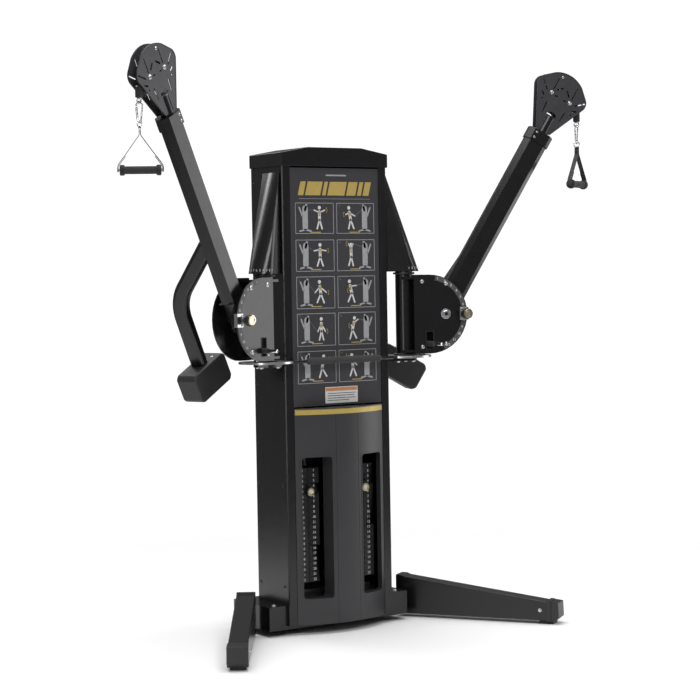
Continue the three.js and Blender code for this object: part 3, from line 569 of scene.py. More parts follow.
# ---------------------------------------------------------------- carried-over nodes

for node, thing in NODES.items():
    thing.data.materials.clear()
    thing.data.materials.append(FINISH[SLOT_OF[node]])


def spot(local, side, point, facing, top=(0, 0, 1)):
    """Where a flat thing lies on a surface: its face out along facing, its top towards top, never mirrored."""
    place = local if side == "right" else MIRROR @ local
    spin = place.to_3x3()
    out = (spin @ Vector(facing)).normalized()
    up = spin @ Vector(top)
    up = (up - out * up.dot(out)).normalized()
    return Matrix.Translation(place @ Vector(point)) @ Matrix((up.cross(out), up,
        out)).transposed().to_4x4()


def mirrored(local, side):
    return local if side == "right" else MIRROR @ local


def disc(r, height, sides=40, round_=0.0):
    """A round button standing on z = 0."""
    c = round_
    if not c:
        return lathe([(0, 0), (r, 0), (r, height), (0, height)], sides=sides)
    corner = [(r - c + c * math.cos(a), height - c + c * math.sin(a)) for a in (0, 0.5, 1.0, 1.571)]
    return lathe([(0, 0), (r, 0), *corner, (0, height)], sides=sides)


def bolt(r, height):
    """A button-head bolt with a hexagon socket on a thin washer, standing on z = 0."""
    crown = [(r * math.cos(a), 1.2 + height * math.sin(a)) for a in (0, 0.3, 0.6, 0.9, 1.15)]
    socket = 0.42 * r
    head = lathe([(0, 1.2), *crown, (socket, height * 0.96 + 1.2), (socket * 0.96, height * 0.35),
        (0, height * 0.3)],
                 sides=30)
    return joined(lathe([(0, 0), (r * 1.25, 0), (r * 1.25, 0.8), (r * 1.2, 1.2), (0, 1.2)], sides=36), head)


def nut(r, height):
    """A hexagon nut with chamfered corners and a stub of thread."""
    points = arc(0, 0, r, 0, 300, 5)
    return joined(
        lathe([(0, 0), (r * 1.25, 0), (r * 1.25, 1.2), (0, 1.2)], sides=32),
        prism(points, 1.0, height, 0.9),
        disc(r * 0.55, height + 3, 20, 0.8),
    )


def stroke(points, width, y, thick=0.5):
    """A flat line with round ends on a face that looks towards -Y, its points given as (x, z)."""
    forms = []
    for (x0, z0), (x1, z1) in zip(points, points[1:]):
        a = math.degrees(math.atan2(z1 - z0, x1 - x0))
        ends = arc(x1, z1, width / 2, a - 90, a + 90, 6) + arc(x0, z0, width / 2, a + 90, a + 270, 6)
        forms.append(prism(ends, y - thick, y, axis="Y"))
    return joined(*forms)


def rounded(x, z, r, steps=5):
    """A rectangle's outline with round corners: x and z are (low, high)."""
    return (arc(x[1] - r, z[1] - r, r, 0, 90, steps) + arc(x[0] + r, z[1] - r, r, 90, 180, steps)
            + arc(x[0] + r, z[0] + r, r, 180, 270, steps) + arc(x[1] - r, z[0] + r, r, 270, 360, steps))


# ---------------------------------------------------------------- frame, legs and plain covers

refined("main_frame", BLACK, 0.0)
refined("rear_foot", RUBBER, 2.0)
refined("back_panel", BLACK, 1.0)
refined("front_panel", PLACARD, 0.8)
refined("guide_rods", DULL_STEEL, 0.0)
refined("top_cap", BLACK, 3.0, segments=3)

LEG_ROOT, LEG_TIP = (448, -2), (896, -672)
LEG_ANGLE = math.atan2(LEG_TIP[1] - LEG_ROOT[1], LEG_TIP[0] - LEG_ROOT[0])
LEG_LENGTH = math.hypot(LEG_TIP[0] - LEG_ROOT[0], LEG_TIP[1] - LEG_ROOT[1])
LEG_FRAME = MACHINE @ shift(*LEG_ROOT, 0) @ turn(LEG_ANGLE, "Z")

for side in SIDES:
    refined(f"{side}_leg", BLACK, 3.0, segments=3)
    refined(f"{side}_front_foot", RUBBER, 3.0)
    refined(f"{side}_side_panel", BLACK, 1.6, segments=3)
    refined(f"{side}_index_plate", SILVER, 1.2)
    # the leg's moulded end cap, in two halves with a seam, and its levelling nut
    top_at = 100 + 98 * 40 / LEG_LENGTH
    cap_side = [(LEG_LENGTH - 34, 14), (LEG_LENGTH - 20, 14), (LEG_LENGTH + 3.5, 33), (LEG_LENGTH, 104.5),
                (LEG_LENGTH - 34, top_at + 4.5)]
    ridge = [(LEG_LENGTH - 60, 14), (LEG_LENGTH - 36, 14), (LEG_LENGTH - 36, top_at + 5.5),
        (LEG_LENGTH - 60, top_at + 8.5)]
    nut_at = spot(LEG_FRAME, side, (LEG_LENGTH - 90, -44, 66), (0, -1, 0))
    piece(f"{side}_leg_end_cap", "tower", [
        (moved(prism(cap_side, -47, 47, 2.5, axis="Y"), mirrored(LEG_FRAME, side)), TRIM),
        (moved(prism(ridge, -46.4, 46.4, 2.0, axis="Y"), mirrored(LEG_FRAME, side)), TRIM),
        (moved(nut(7, 6), nut_at), ZINC),
    ], MM)
    bolts = []
    for x, y in ((345, 176), (345, -84)):
        bolts.append((moved(bolt(9, 5), spot(MACHINE, side, (x, y, 142), (0, 0, 1), (0, 1, 0))), ZINC))
    piece(f"{side}_base_bolts", "tower", bolts, MM)

# ---------------------------------------------------------------- placard

FACE = TOWER["front"] + 3
FRAME_TOPS = (2017, 1845, 1673, 1501, 1325)
FRAME_BOTTOMS = (1873, 1697, 1523, 1348, 1173)
FRAME_X = (8, 222)

# where the arms and legs go in each figure: left hand, right hand, left foot, right foot, lean of the trunk
POSES = [
    ((-26, 30), (26, 30), (-12, -46), (12, -46), 0),
    ((-22, 6), (24, 12), (-16, -46), (10, -46), 6),
    ((-30, 16), (30, 16), (-14, -46), (14, -46), 0),
    ((-10, 44), (12, 44), (-10, -46), (12, -46), 0),
    ((-28, -4), (28, -4), (-18, -44), (16, -46), -4),
    ((-24, 22), (10, 2), (-14, -46), (18, -44), 8),
    ((-18, -12), (20, -12), (-10, -46), (10, -46), 0),
    ((-30, 34), (6, 8), (-20, -44), (12, -46), -8),
    ((-14, 14), (28, 28), (-12, -46), (22, -42), 6),
    ((-20, -2), (22, 36), (-16, -46), (14, -46), 4),
]


def pictogram(cx, cz, pose, flip):
    """A stick figure pulling on a post with a cable: parts for one frame."""
    left, right, foot_a, foot_b, lean = pose
    f = -1.14 if flip else 1.14

    def at(x, z):
        return (cx + f * x, cz + 1.14 * z)

    hip, neck = (24, -8), (24 + lean, 22)
    light = [
        stroke([at(*neck), at(*hip)], 15, FACE),
        stroke([at(24 + foot_a[0], foot_a[1]), at(*hip), at(24 + foot_b[0], foot_b[1])], 8, FACE),
        stroke([at(24 + left[0], left[1]), at(neck[0], neck[1] - 2), at(24 + right[0], right[1])], 6, FACE),
        prism(arc(*at(24 + lean * 1.4, 40), 8.5, 0, 345, 23), FACE - 0.5, FACE, axis="Y"),
    ]
    grey = [
        stroke([at(-46, -40), at(-46, 36)], 30, FACE),
        stroke([at(-46, 30), at(-40, 50)], 12, FACE),
        stroke([at(-60, 6), at(-74, 40)], 8, FACE),
        stroke([at(-46, -50), at(-18, -56)], 8, FACE),
        stroke([at(-46, -50), at(-72, -56)], 8, FACE),
    ]
    thin = [stroke([at(-32, 30), at(24 + left[0], left[1])], 1.8, FACE)]
    sweep = [at(24 + right[0] + 12 * math.cos(t / 10), right[1] + 12 * math.sin(t / 10)) for t in range(-8,
        9, 4)]
    gold = [stroke(sweep, 4, FACE), stroke([at(*neck), at(24 + lean / 2, 8)], 9, FACE - 0.3),
            stroke([at(-20, -61), at(28, -61)], 4, FACE)]
    return [(joined(*light), WHITE_PRINT), (joined(*grey), MID_PRINT), (joined(*thin), GREY_PRINT),
            (joined(*gold), GOLD_PRINT)]


decal = []
for row, (top, bottom) in enumerate(zip(FRAME_TOPS, FRAME_BOTTOMS)):
    for column, flip in ((-1, False), (1, True)):
        x0, x1 = sorted((column * FRAME_X[0], column * FRAME_X[1]))
        outer = rounded((x0, x1), (bottom, top), 2.5, 2)
        inner = rounded((x0 + 2.6, x1 - 2.6), (bottom + 2.6, top - 2.6), 1, 2)
        ring = boolean(prism(outer, FACE - 0.5, FACE, axis="Y"),
            [prism(inner, FACE - 2, FACE + 2, axis="Y")])
        decal.append((ring, MID_PRINT))
        pose = POSES[2 * row + (1 if flip else 0)]
        decal += pictogram((x0 + x1) / 2, (top + bottom) / 2 + 4, pose, flip)
        number = moved(lettered(str(2 * row + (2 if flip else 1)), 15, 0.4),
                       spot(MACHINE, "right", (x0 + 16, FACE - 0.3, top - 15), (0, -1, 0)))
        decal.append((moved(number, MACHINE.inverted()), GREY_PRINT))

# the heading: slanted gold bars, with a thin dim line above it and one below
for x, width in ((-206, 30), (-166, 84), (-72, 20), (-42, 96), (64, 52), (126, 22), (158, 34)):
    slant = [(x, 2052), (x + width, 2052), (x + width + 16, 2116), (x + 16, 2116)]
    decal.append((prism(slant, FACE - 0.5, FACE, axis="Y"), GOLD_PRINT))
decal.append((stroke([(-46, 2146), (62, 2146)], 7, FACE), MID_PRINT))
decal.append((stroke([(-200, 2036), (200, 2036)], 1.6, FACE), MID_PRINT))

# the blank label under the exercises
decal.append((prism(rounded((-72, 112), (1076, 1152), 3), FACE - 0.6, FACE, axis="Y"), LABEL_WHITE))
decal.append((prism([(-69, 1133), (109, 1133), (109, 1149), (-69, 1149)], FACE - 0.9, FACE, axis="Y"),
    ORANGE_PRINT))
for k, end in enumerate((100, 92, 98, 60)):
    decal.append((stroke([(-58, 1122 - 11 * k), (end, 1122 - 11 * k)], 3, FACE - 0.5), DIM_PRINT))
piece("placard_print", "tower", decal, MM @ MACHINE)

# ---------------------------------------------------------------- front shroud

SHROUD = dict(half=248, bow=72, bottom=47, top=1060, thick=4)
SHROUD_R = (SHROUD["half"] ** 2 + SHROUD["bow"] ** 2) / (2 * SHROUD["bow"])
WINDOW = dict(inner=84, outer=222, bottom=168, top=832)


def shroud_y(x, out=0.0):
    """The shroud's front surface at a place across the machine."""
    r = SHROUD_R + out
    return TOWER["front"] - SHROUD["bow"] + SHROUD_R - math.sqrt(r * r - x * x)


def across(x0, x1, out, steps=48):
    """Points on the shroud's surface, moved out by a distance."""
    return [(x0 + (x1 - x0) * k / steps, shroud_y(x0 + (x1 - x0) * k / steps,
        out)) for k in range(steps + 1)]


half, thick = SHROUD["half"], SHROUD["thick"]
back_y = TOWER["front"] + thick
skin = joined(
    prism(across(-half, half, 0) + across(half - 3, 3 - half, -thick), SHROUD["bottom"],
        SHROUD["top"] - thick),
)
tools = []
for s in (-1, 1):
    x = sorted((s * WINDOW["inner"], s * WINDOW["outer"]))
    tools.append(prism(rounded(x, (WINDOW["bottom"], WINDOW["top"]), 16), -230, -100, axis="Y"))
for x in (-62, 62, 238):
    tools.append(box((x - 0.9, x + 0.9), (shroud_y(x) - 5, shroud_y(x) + 1.6),
        (SHROUD["bottom"] - 5, SHROUD["top"] + 5)))
skin = soften(boolean(skin, tools), 1.4, 40)
ledge = prism(across(-half, half, 0.5) + [(half, back_y), (-half, back_y)], SHROUD["top"] - thick - 6,
    SHROUD["top"], 2.4)
shroud_parts = [(skin, CHARCOAL), (ledge, CHARCOAL)]
for s in (-1, 1):
    x = sorted((s * WINDOW["inner"], s * WINDOW["outer"]))
    z = (WINDOW["bottom"], WINDOW["top"])
    outer = rounded((x[0] - 3, x[1] + 3), (z[0] - 3, z[1] + 3), 18)
    inner = rounded(x, z, 16)
    # the deep moulded lining, its front trimmed to the shroud's bow, and a rim round the opening
    lining = boolean(prism(outer, -215, -118, axis="Y"), [prism(inner, -240, -90, axis="Y")])
    trim = prism(across(-half, half, -2) + [(half, -300), (-half, -300)], 0, 1100)
    shroud_parts.append((boolean(lining, [trim]), CHARCOAL))
    rim = boolean(prism(rounded((x[0] - 5, x[1] + 5), (z[0] - 5, z[1] + 5), 20), -215, -120, axis="Y"),
                  [prism(rounded((x[0] + 0.5, x[1] - 0.5), (z[0] + 0.5, z[1] - 0.5), 15.5), -240, -90,
                      axis="Y")])
    lip = prism(across(-half, half, 1.6) + across(half - 3, 3 - half, -2), 0, 1100)
    shroud_parts.append((soften(boolean(rim, [lip], "INTERSECT"), 0.6, 40), CHARCOAL))
band = prism(across(-246, 246, 0.5) + across(246, -246, -1), 1030, 1055)
shroud_parts.append((band, GOLD_PRINT))
piece("front_shroud_shell", "tower", shroud_parts, MM @ MACHINE, ["front_shroud"])

# ---------------------------------------------------------------- weight stacks and selector pins

STACK_TOP = STACK_BOTTOM + PLATE_PITCH * PLATES_LEFT


def stack_shape(node, edges):
    """A CAD block with the joints between its plates cut into the front and a groove down the middle."""
    form = new_form()
    form.from_mesh(NODES[node].data)
    bmesh.ops.remove_doubles(form, verts=form.verts, dist=1e-5)
    moved(form, Matrix.Scale(1000, 4))
    x = CENTRE_X + (STACK_X if node.startswith("right") else -STACK_X)
    front, back = STACK_FRONT + CENTRE_Y, STACK_BACK + CENTRE_Y
    slits = [box((x - 70, x + 70), (front - 5, front + 4), (z - 0.9, z + 0.9)) for z in edges]
    slits += [box((x - 70, x + 70), (back - 4, back + 5), (z - 0.9, z + 0.9)) for z in edges]
    low, high = (edges[0] - 60, edges[-1] + 60)
    groove = box((x - 6, x + 6), (front - 5, front + 2.4), (low, high))
    return boolean(boolean(form, [joined(*slits)]), [groove])


for side in SIDES:
    left_edges = [STACK_BOTTOM + PLATE_PITCH * k for k in range(1, PLATES_LEFT)]
    lifted_edges = [STACK_TOP + PLATE_PITCH * k for k in range(1, PLATES_LIFTED)]
    for node, body, edges, first, count in (
            ("weight_stack", "tower", left_edges, 0, PLATES_LEFT),
            ("lifted_plates", f"{side}_lift", lifted_edges, PLATES_LEFT, PLATES_LIFTED)):
        parts = [(stack_shape(f"{side}_{node}", edges), STACK_IRON)]
        for k in range(first, first + count):
            z = STACK_BOTTOM + PLATE_PITCH * (k + 0.5)
            digits = str(PLATES_LEFT + PLATES_LIFTED - k)
            for dx in (-31, 31):
                place = spot(MACHINE, side, (STACK_X + dx, STACK_FRONT - 0.2, z), (0, -1, 0))
                parts.append((moved(lettered(digits, 17, 0.4, 0.3), place), WHITE_PRINT))
            # a near-black disc sunk in the groove is painted shade standing in for the pin hole, which is not
            # cut
            hole = spot(MACHINE, side, (STACK_X, STACK_FRONT + 2.2, z), (0, -1, 0))
            parts.append((moved(disc(5.4, 0.4, 20), hole), HOLE_SHADE_AND_DARK_PRINT))
        piece(f"{side}_{node}_plates", body, parts, MM, [f"{side}_{node}"])
    knob = STACK_FRONT - 5
    at = mirrored(MACHINE @ shift(STACK_X, knob, STACK_TOP + PLATE_PITCH / 2) @ turn(math.pi / 2, "X"),
        side)
    head = lathe([(0, 0), (15, 0), (17.5, 3), (16.5, 8), (21, 12), (22, 16), (20.5, 20), (16, 20.6),
        (0, 20.6)])
    ring = lathe([(11.5, 20), (20.4, 20), (19.6, 22.4), (17, 23), (12.5, 22.6), (11.5, 21.6)])
    stem = lathe([(0, 0), (5, 0), (5, -95), (4, -96), (0, -96)], sides=24)
    piece(f"{side}_selector_knob", f"{side}_pin", [
        (moved(head, at), NYLON), (moved(ring, at), GOLD),
            (moved(disc(11.6, 22.2, 32, 1.2), at), WHITE_CAP),
        (moved(stem, at), CHROME),
    ], MM, [f"{side}_selector_pin"])

# ---------------------------------------------------------------- swivel covers

COVER = dict(bottom=1690, top=2158, x=409, r=60, near=-118, rear=22, proud=6)
COVER_WALL = 4.5


def cover_form(inset, bottom, top, back):
    inner = TOWER["half"] + 0.3
    ring = arc(COVER["x"], SWIVEL_AT[1], COVER["r"] - inset, 0, 354, 59)
    points = [(x, y, bottom) for x, y in ring]
    for y in (COVER["near"] + inset, COVER["rear"] - inset):
        points += [(back, y, bottom), (back, y, top), (inner + COVER["proud"] - inset, y, top)]
    return hull(points)


for side in SIDES:
    inner = TOWER["half"] + 0.3
    shell = boolean(cover_form(0, COVER["bottom"], COVER["top"], inner),
                    [cover_form(COVER_WALL, COVER["bottom"] - 3, COVER["top"] - 14, inner - 5)])
    parts = [(moved(soften(shell, 2.2, 40), mirrored(MACHINE, side)), BLACK)]
    for k in range(9):
        a = math.radians(-112 + 15 * k)
        out = (math.cos(a), math.sin(a), 0)
        point = (COVER["x"] + (COVER["r"] + 0.1) * out[0], SWIVEL_AT[1] + (COVER["r"] + 0.1) * out[1],
            COVER["bottom"] + 16)
        parts.append((moved(lettered(str(k + 1), 15, 0.5, 0.2), spot(MACHINE, side, point, out)),
            WHITE_PRINT))
    piece(f"{side}_swivel_cover_shell", "tower", parts, MM, [f"{side}_swivel_cover"],
        24)

    # index plate digits, and the bolts under its bracket
    marks = []
    reach, rest = math.hypot(90, 20), math.degrees(math.atan2(-20, 90)) - 20.4
    for k in range(7):
        a = math.radians(rest - 10 * k)
        point = (SWIVEL_AT[0] + (reach + 18) * math.cos(a), SWIVEL_AT[1] + (reach + 18) * math.sin(a),
            INDEX_TOP + 0.15)
        out = (math.cos(a), math.sin(a), 0)
        marks.append((moved(lettered(str(k + 1), 11, 0.3), spot(MACHINE, side, point, (0, 0, 1), out)),
            HOLE_SHADE_AND_DARK_PRINT))
    for x, y in ((420, -100), (430, -150), (340, -150)):
        marks.append((moved(bolt(10, 7), spot(MACHINE, side, (x, y, 1260.3), (0, 0, -1), (0, 1, 0))), ZINC))
    piece(f"{side}_index_marks", "tower", marks, MM)

    # fixing screws along the side panel
    screws = []
    for z in (230, 700, 1170, 1640, 2110):
        for y in (112, -100):
            if y < 0 and z > 1100:
                continue
            screws.append((moved(bolt(6, 2.5), spot(MACHINE, side, (TOWER["half"], y, z), (1, 0, 0))),
                TRIM))
    piece(f"{side}_panel_screws", "tower", screws, MM)

screws = []
for x in (-246, 0, 246):
    for z in (230, 860, 1490, 2110):
        screws.append((moved(bolt(6, 2.5), spot(MACHINE, "right", (x, TOWER["back"], z), (0, 1, 0))), TRIM))
piece("back_screws", "tower", screws, MM)

# ---------------------------------------------------------------- grab bar

grip_profile = [(0, -211), (9, -210), (12, -206), (15.4, -201), (16.5, -196)]
for k in range(48):
    x = -192 + 8 * k
    grip_profile += [(16.5, x), (15.9, x + 1.2), (16.5, x + 2.4)]
grip_profile += [(16.5, 196), (15.4, 201), (12, 206), (9, 210), (0, 211)]
bar_reach = SWIVEL_AT[0] - math.sqrt(127 ** 2 - 60 ** 2) - 0.3
ends = [lathe([(0, s * 207), (8, s * 207), (8, s * (bar_reach - 1.5)), (6.5, s * bar_reach),
    (0, s * bar_reach)], "X")
        for s in (-1, 1)]
at = MACHINE @ shift(0, SWIVEL_AT[1] - 60, 1281.3)
piece("grab_bar_grip", "tower", [(moved(lathe(grip_profile, "X"), at), FOAM),
    (moved(joined(*ends), at), BLACK)],
      MM, ["grab_bar"])

# ---------------------------------------------------------------- swivel frames

HEAD_GREY = coated("plate_grey", rgb(0.036, 0.034, 0.038), 0.38, 800.0, 0.05, 1.4)
PLATE_Z = PIVOT[1]
TAPE = arc(PLATE_CENTRE, PLATE_Z, 187, 80, -66, 48) + arc(PLATE_CENTRE, PLATE_Z, 164, -66, 80, 48)

for side in SIDES:
    body = f"{side}_swivel"
    refined(f"{side}_swivel_frame", BLACK, 1.6, segments=3)
    parts = [(moved(prism(TAPE, -PLATE_FAR - 0.4, -PLATE_FAR, axis="Y"), mirrored(SWIVEL, side)),
        DIM_PRINT)]
    for k in range(12):
        if k == 6:
            continue
        a = math.radians(75.5 - 12.1 * k)
        point = (PLATE_CENTRE + 175.5 * math.cos(a), -PLATE_FAR - 0.5, PLATE_Z + 175.5 * math.sin(a))
        parts.append((moved(lettered(str(k + 1), 17, 0.4, 0.3), spot(SWIVEL, side, point, (0, -1, 0))),
            WHITE_PRINT))
    # the heads and washers of the pivot bolt, one on each plate
    for s in (-1, 1):
        place = spot(SWIVEL, side, (PIVOT[0], s * PLATE_FAR, PLATE_Z), (0, s, 0))
        washer = lathe([(0, 0), (24, 0), (24, 1.6), (22.8, 2.4), (0, 2.4)])
        crown = lathe([(0, 2.4), (17, 2.4), (17, 8), (14.5, 10.5), (8.5, 10.5), (8, 6.5), (0, 6.2)])
        parts.append((moved(joined(washer, crown), place), SILVER))
    # the pin's threaded housing on a bracket that wraps the rim
    x = PIVOT[0] + TILT_R
    bracket = joined(
        box((x - 22, x + 21), (-PLATE_FAR - 5, -PLATE_FAR), (PLATE_Z - 31, PLATE_Z + 31), 1.6),
        box((x + 16.6, x + 21), (-PLATE_FAR - 5, -PLATE_NEAR + 6), (PLATE_Z - 31, PLATE_Z + 31), 1.4),
    )
    parts.append((moved(bracket, mirrored(SWIVEL, side)), SILVER))
    housing = lathe([(6.9, 70), (19, 70), (19, 78), (15, 79), (15, 86), (14, 87), (14, 91.5), (6.9, 91.5)])
    parts.append((moved(housing, mirrored(SWIVEL @ shift(x, 0, PLATE_Z) @ turn(math.pi / 2, "X"), side)),
        TRIM))
    for dz in (-23, 23):
        parts.append((moved(bolt(4.5, 3),
            spot(SWIVEL, side, (x - 12, -PLATE_FAR - 5, PLATE_Z + dz), (0, -1, 0))), ZINC))
    # spacer bolts through the two plates
    for bx, bz in ((70, 1640), (190, 1628), (70, 1326), (188, 1338)):
        for s in (-1, 1):
            parts.append((moved(bolt(8, 4.5), spot(SWIVEL, side, (bx, s * PLATE_FAR, bz), (0, s, 0))),
                ZINC))
    # slotted trim round the lever's window
    window = boolean(prism(rounded((85, 126), (1313, 1403), 4), -PLATE_FAR - 1.6, -PLATE_FAR, axis="Y"),
                     [prism(rounded((88.5, 122.5), (1316.5, 1399.5), 2), -90, -60, axis="Y")])
    parts.append((moved(window, mirrored(SWIVEL, side)), TRIM))
    # the pointer under the cover, and the bearing collar round the post
    collar = lathe([(42, 1676), (50, 1676), (52, 1678), (52, 1684), (50, 1686), (42, 1686)], sides=56)
    parts.append((moved(collar, mirrored(SWIVEL, side)), TRIM))
    tip = prism([(-5, 1664), (5, 1664), (0, 1675)], -0.4, 0.4, axis="Y")
    parts.append((moved(tip, mirrored(SWIVEL, side) @ shift(44, -60, 0)), WHITE_PRINT))
    foot = lathe([(42, 1287), (53, 1287), (55, 1289), (55, 1293), (50, 1297), (42, 1297)], sides=56)
    parts.append((moved(foot, mirrored(SWIVEL, side)), TRIM))
    piece(f"{side}_swivel_fittings", body, parts, MM)

    # pop pin: steel pin, fluted black knob, gold ring and pale cap
    at = mirrored(SWIVEL @ shift(x, 0, PLATE_Z) @ turn(math.pi / 2, "X"), side)
    pin = lathe([(0, 51), (4.6, 51), (6.2, 53), (6.2, 107), (0, 107)], sides=28)
    knob = lathe([(0, 106), (13, 106), (16, 108), (17, 113), (21, 117), (24.4, 121), (25, 127), (25, 134),
                  (23.5, 139), (20.5, 141), (0, 141)], sides=56)
    flutes = []
    for k in range(10):
        a = 2 * math.pi * k / 10
        flutes.append(lathe([(0, 112), (4, 112), (4, 136), (0, 137)], sides=14,
                            centre=(27.2 * math.cos(a), 27.2 * math.sin(a), 0)))
    knob = boolean(knob, [joined(*flutes)])
    ring = lathe([(13, 140), (21, 140), (20.4, 142.6), (18, 143.4), (14, 143), (13, 141.6)], sides=48)
    cap = moved(disc(13.2, 3.2, 40, 1.4), shift(0, 0, 139.6))
    piece(f"{side}_tilt_knob_body", f"{side}_tilt_knob", [
        (moved(pin, at), CHROME), (moved(knob, at), NYLON), (moved(ring, at), GOLD),
            (moved(cap, at), SILVER),
    ], MM, [f"{side}_tilt_pin"])

    # lever: chrome rod, black sleeve, plunger
    length = math.hypot(48, 157)
    at = mirrored(SWIVEL @ shift(90, -20, 1341) @ turn(math.atan2(-157, 48), "Z"), side)
    rod_form = lathe([(0, -4), (7, -4), (8, -2.5), (8, length - 6), (7.4, length - 2.4), (5, length),
        (0, length)], "X", 32)
    sleeve = lathe([(8.1, 14), (11.6, 14), (13, 16), (13, 84), (12, 88), (9.5, 90), (8.1, 90)], "X", 36)
    plunger = lathe([(0, 1287.6), (4.4, 1287.6), (5.5, 1289.4), (5.5, 1341), (0, 1341)], sides=24,
        centre=(90, -20, 0))
    piece(f"{side}_lever_body", f"{side}_lever", [
        (moved(rod_form, at), CHROME), (moved(sleeve, at), RUBBER),
            (moved(plunger, mirrored(SWIVEL, side)), CHROME),
    ], MM, [f"{side}_swivel_lever"])

# ---------------------------------------------------------------- arms


def bent_bar():
    """The counterweight's flat-sided tube: straight, one wide bend, straight."""
    start, corner, end = Vector((414, 8, 18)), Vector((109, 304, -22)), Vector((-240, 318, -15))
    first, second = (corner - start).normalized(), (end - corner).normalized()
    normal = first.cross(second).normalized()
    across_ = normal.cross(first)
    turning, curve = first.angle(second), 240
    back = curve * math.tan(turning / 2)
    near = corner - first * back
    centre = near + across_ * curve
    bend = [centre - across_ * curve * math.cos(turning * k / 16) + first * curve * math.sin(turning * k / 16)
            for k in range(17)]
    form = tube([start, *bend, end], 0, flat=(38, 27), up=normal)
    form = soften(form, 6.0, 35, 3)
    return boolean(form, [box((0, 600), (-200, 36.3), (-300, 300)),
        box((-500, -226.7), (0, 600), (-300, 300))])


for side in SIDES:
    body = f"{side}_arm"
    local = mirrored(ARM[side], side)
    refined(f"{side}_arm_tube", BLACK, 2.2, segments=3)
    piece(f"{side}_bar_shell", body, [(moved(bent_bar(), local), BLACK)],
          MM, [f"{side}_counterweight_bar"])
    refined(f"{side}_counterweight", WEIGHT, 9.0, segments=4)
    fittings = []
    for y in (292, 344):
        fittings.append((moved(bolt(7, 4), spot(ARM[side], side, (-226.9, y, 52), (1, 0, 0), (0, 0, 1))),
            ZINC))
    end_cap = box((107, 111.8), (-35, 35), (-58, 58), 2.2)
    fittings.append((moved(end_cap, local), TRIM))
    # the collar's clamp screws
    for s in (-1, 1):
        for x in (972, 1000):
            fittings.append((moved(bolt(5, 3),
                spot(ARM[side], side, (x, s * 41, 28), (0, s, 0), (1, 0, 0))), ZINC))
    piece(f"{side}_arm_fittings", body, fittings, MM)

# ---------------------------------------------------------------- pulley heads

WHEEL_R, WHEEL_WIDTH = 47, 34


def head_outline(grow=0.0):
    """From the neck out to two round corners and a bowed edge."""
    return ([(1022, -40 - grow)] + arc(1232, HEAD_Z - 92, 46 + grow, -118, -46, 14)
            + arc(1190, HEAD_Z, 140 + grow, -34, 34, 30)
            + arc(1232, HEAD_Z + 92, 46 + grow, 46, 118, 14) + [(1022, 40 + grow)])


def slit(x0, z0, x1, z1, width):
    """A round-ended slot through a plate between two points."""
    angle = math.degrees(math.atan2(z1 - z0, x1 - x0))
    ends = arc(x1, z1, width / 2, angle - 90, angle + 90, 8) + arc(x0, z0, width / 2, angle + 90,
        angle + 270, 8)
    return prism(ends, -60, 60, axis="Y")


def head_plate(low, high):
    """A plate with slots spreading from each axle and a half-round window past the end of the tube."""
    plate = prism(head_outline(), low, high, axis="Y")
    tools = []
    for s in (-1, 1):
        z = s * SPREAD
        for x0, z0, x1, z1, width in (
                (20, 0, 82, 0, 6), (-54, 0, -104, -4, 6), (3, 30, 36, 68, 6), (-20, 48, -29, 32, 8),
                (26, -20, 44, -40, 9), (-4, -24, -4, -34, 6), (-48, 30, -48, 30.5, 8)):
            tools.append(slit(HEAD_X + x0, z + s * z0, HEAD_X + x1, z + s * z1, width))
    tools.append(prism([(1108 + (x - 1108) * 0.7, z) for x, z in arc(1108, 0, 27, -90, 90, 18)], -60, 60,
        axis="Y"))
    return soften(boolean(plate, tools), 0.9, 40, 2)


def sheave(r, width, bore, groove, hub):
    h = width / 2
    return lathe([
        (bore, -h), (hub - 1, -h), (hub, 1 - h), (hub, 5 - h), (r - 10, 5 - h), (r - 7, 1 - h), (r - 5, -h),
            (r - 1, -h),
        (r, 1 - h), (r, 3 - h), (groove + 1.5, -6), (groove, -3), (groove, 3), (groove + 1.5, 6),
            (r, h - 3),
        (r, h - 1), (r - 1, h), (r - 5, h), (r - 7, h - 1), (r - 10, h - 5), (hub, h - 5), (hub, h - 1),
            (hub - 1, h),
        (bore, h),
    ], "Y", 64)


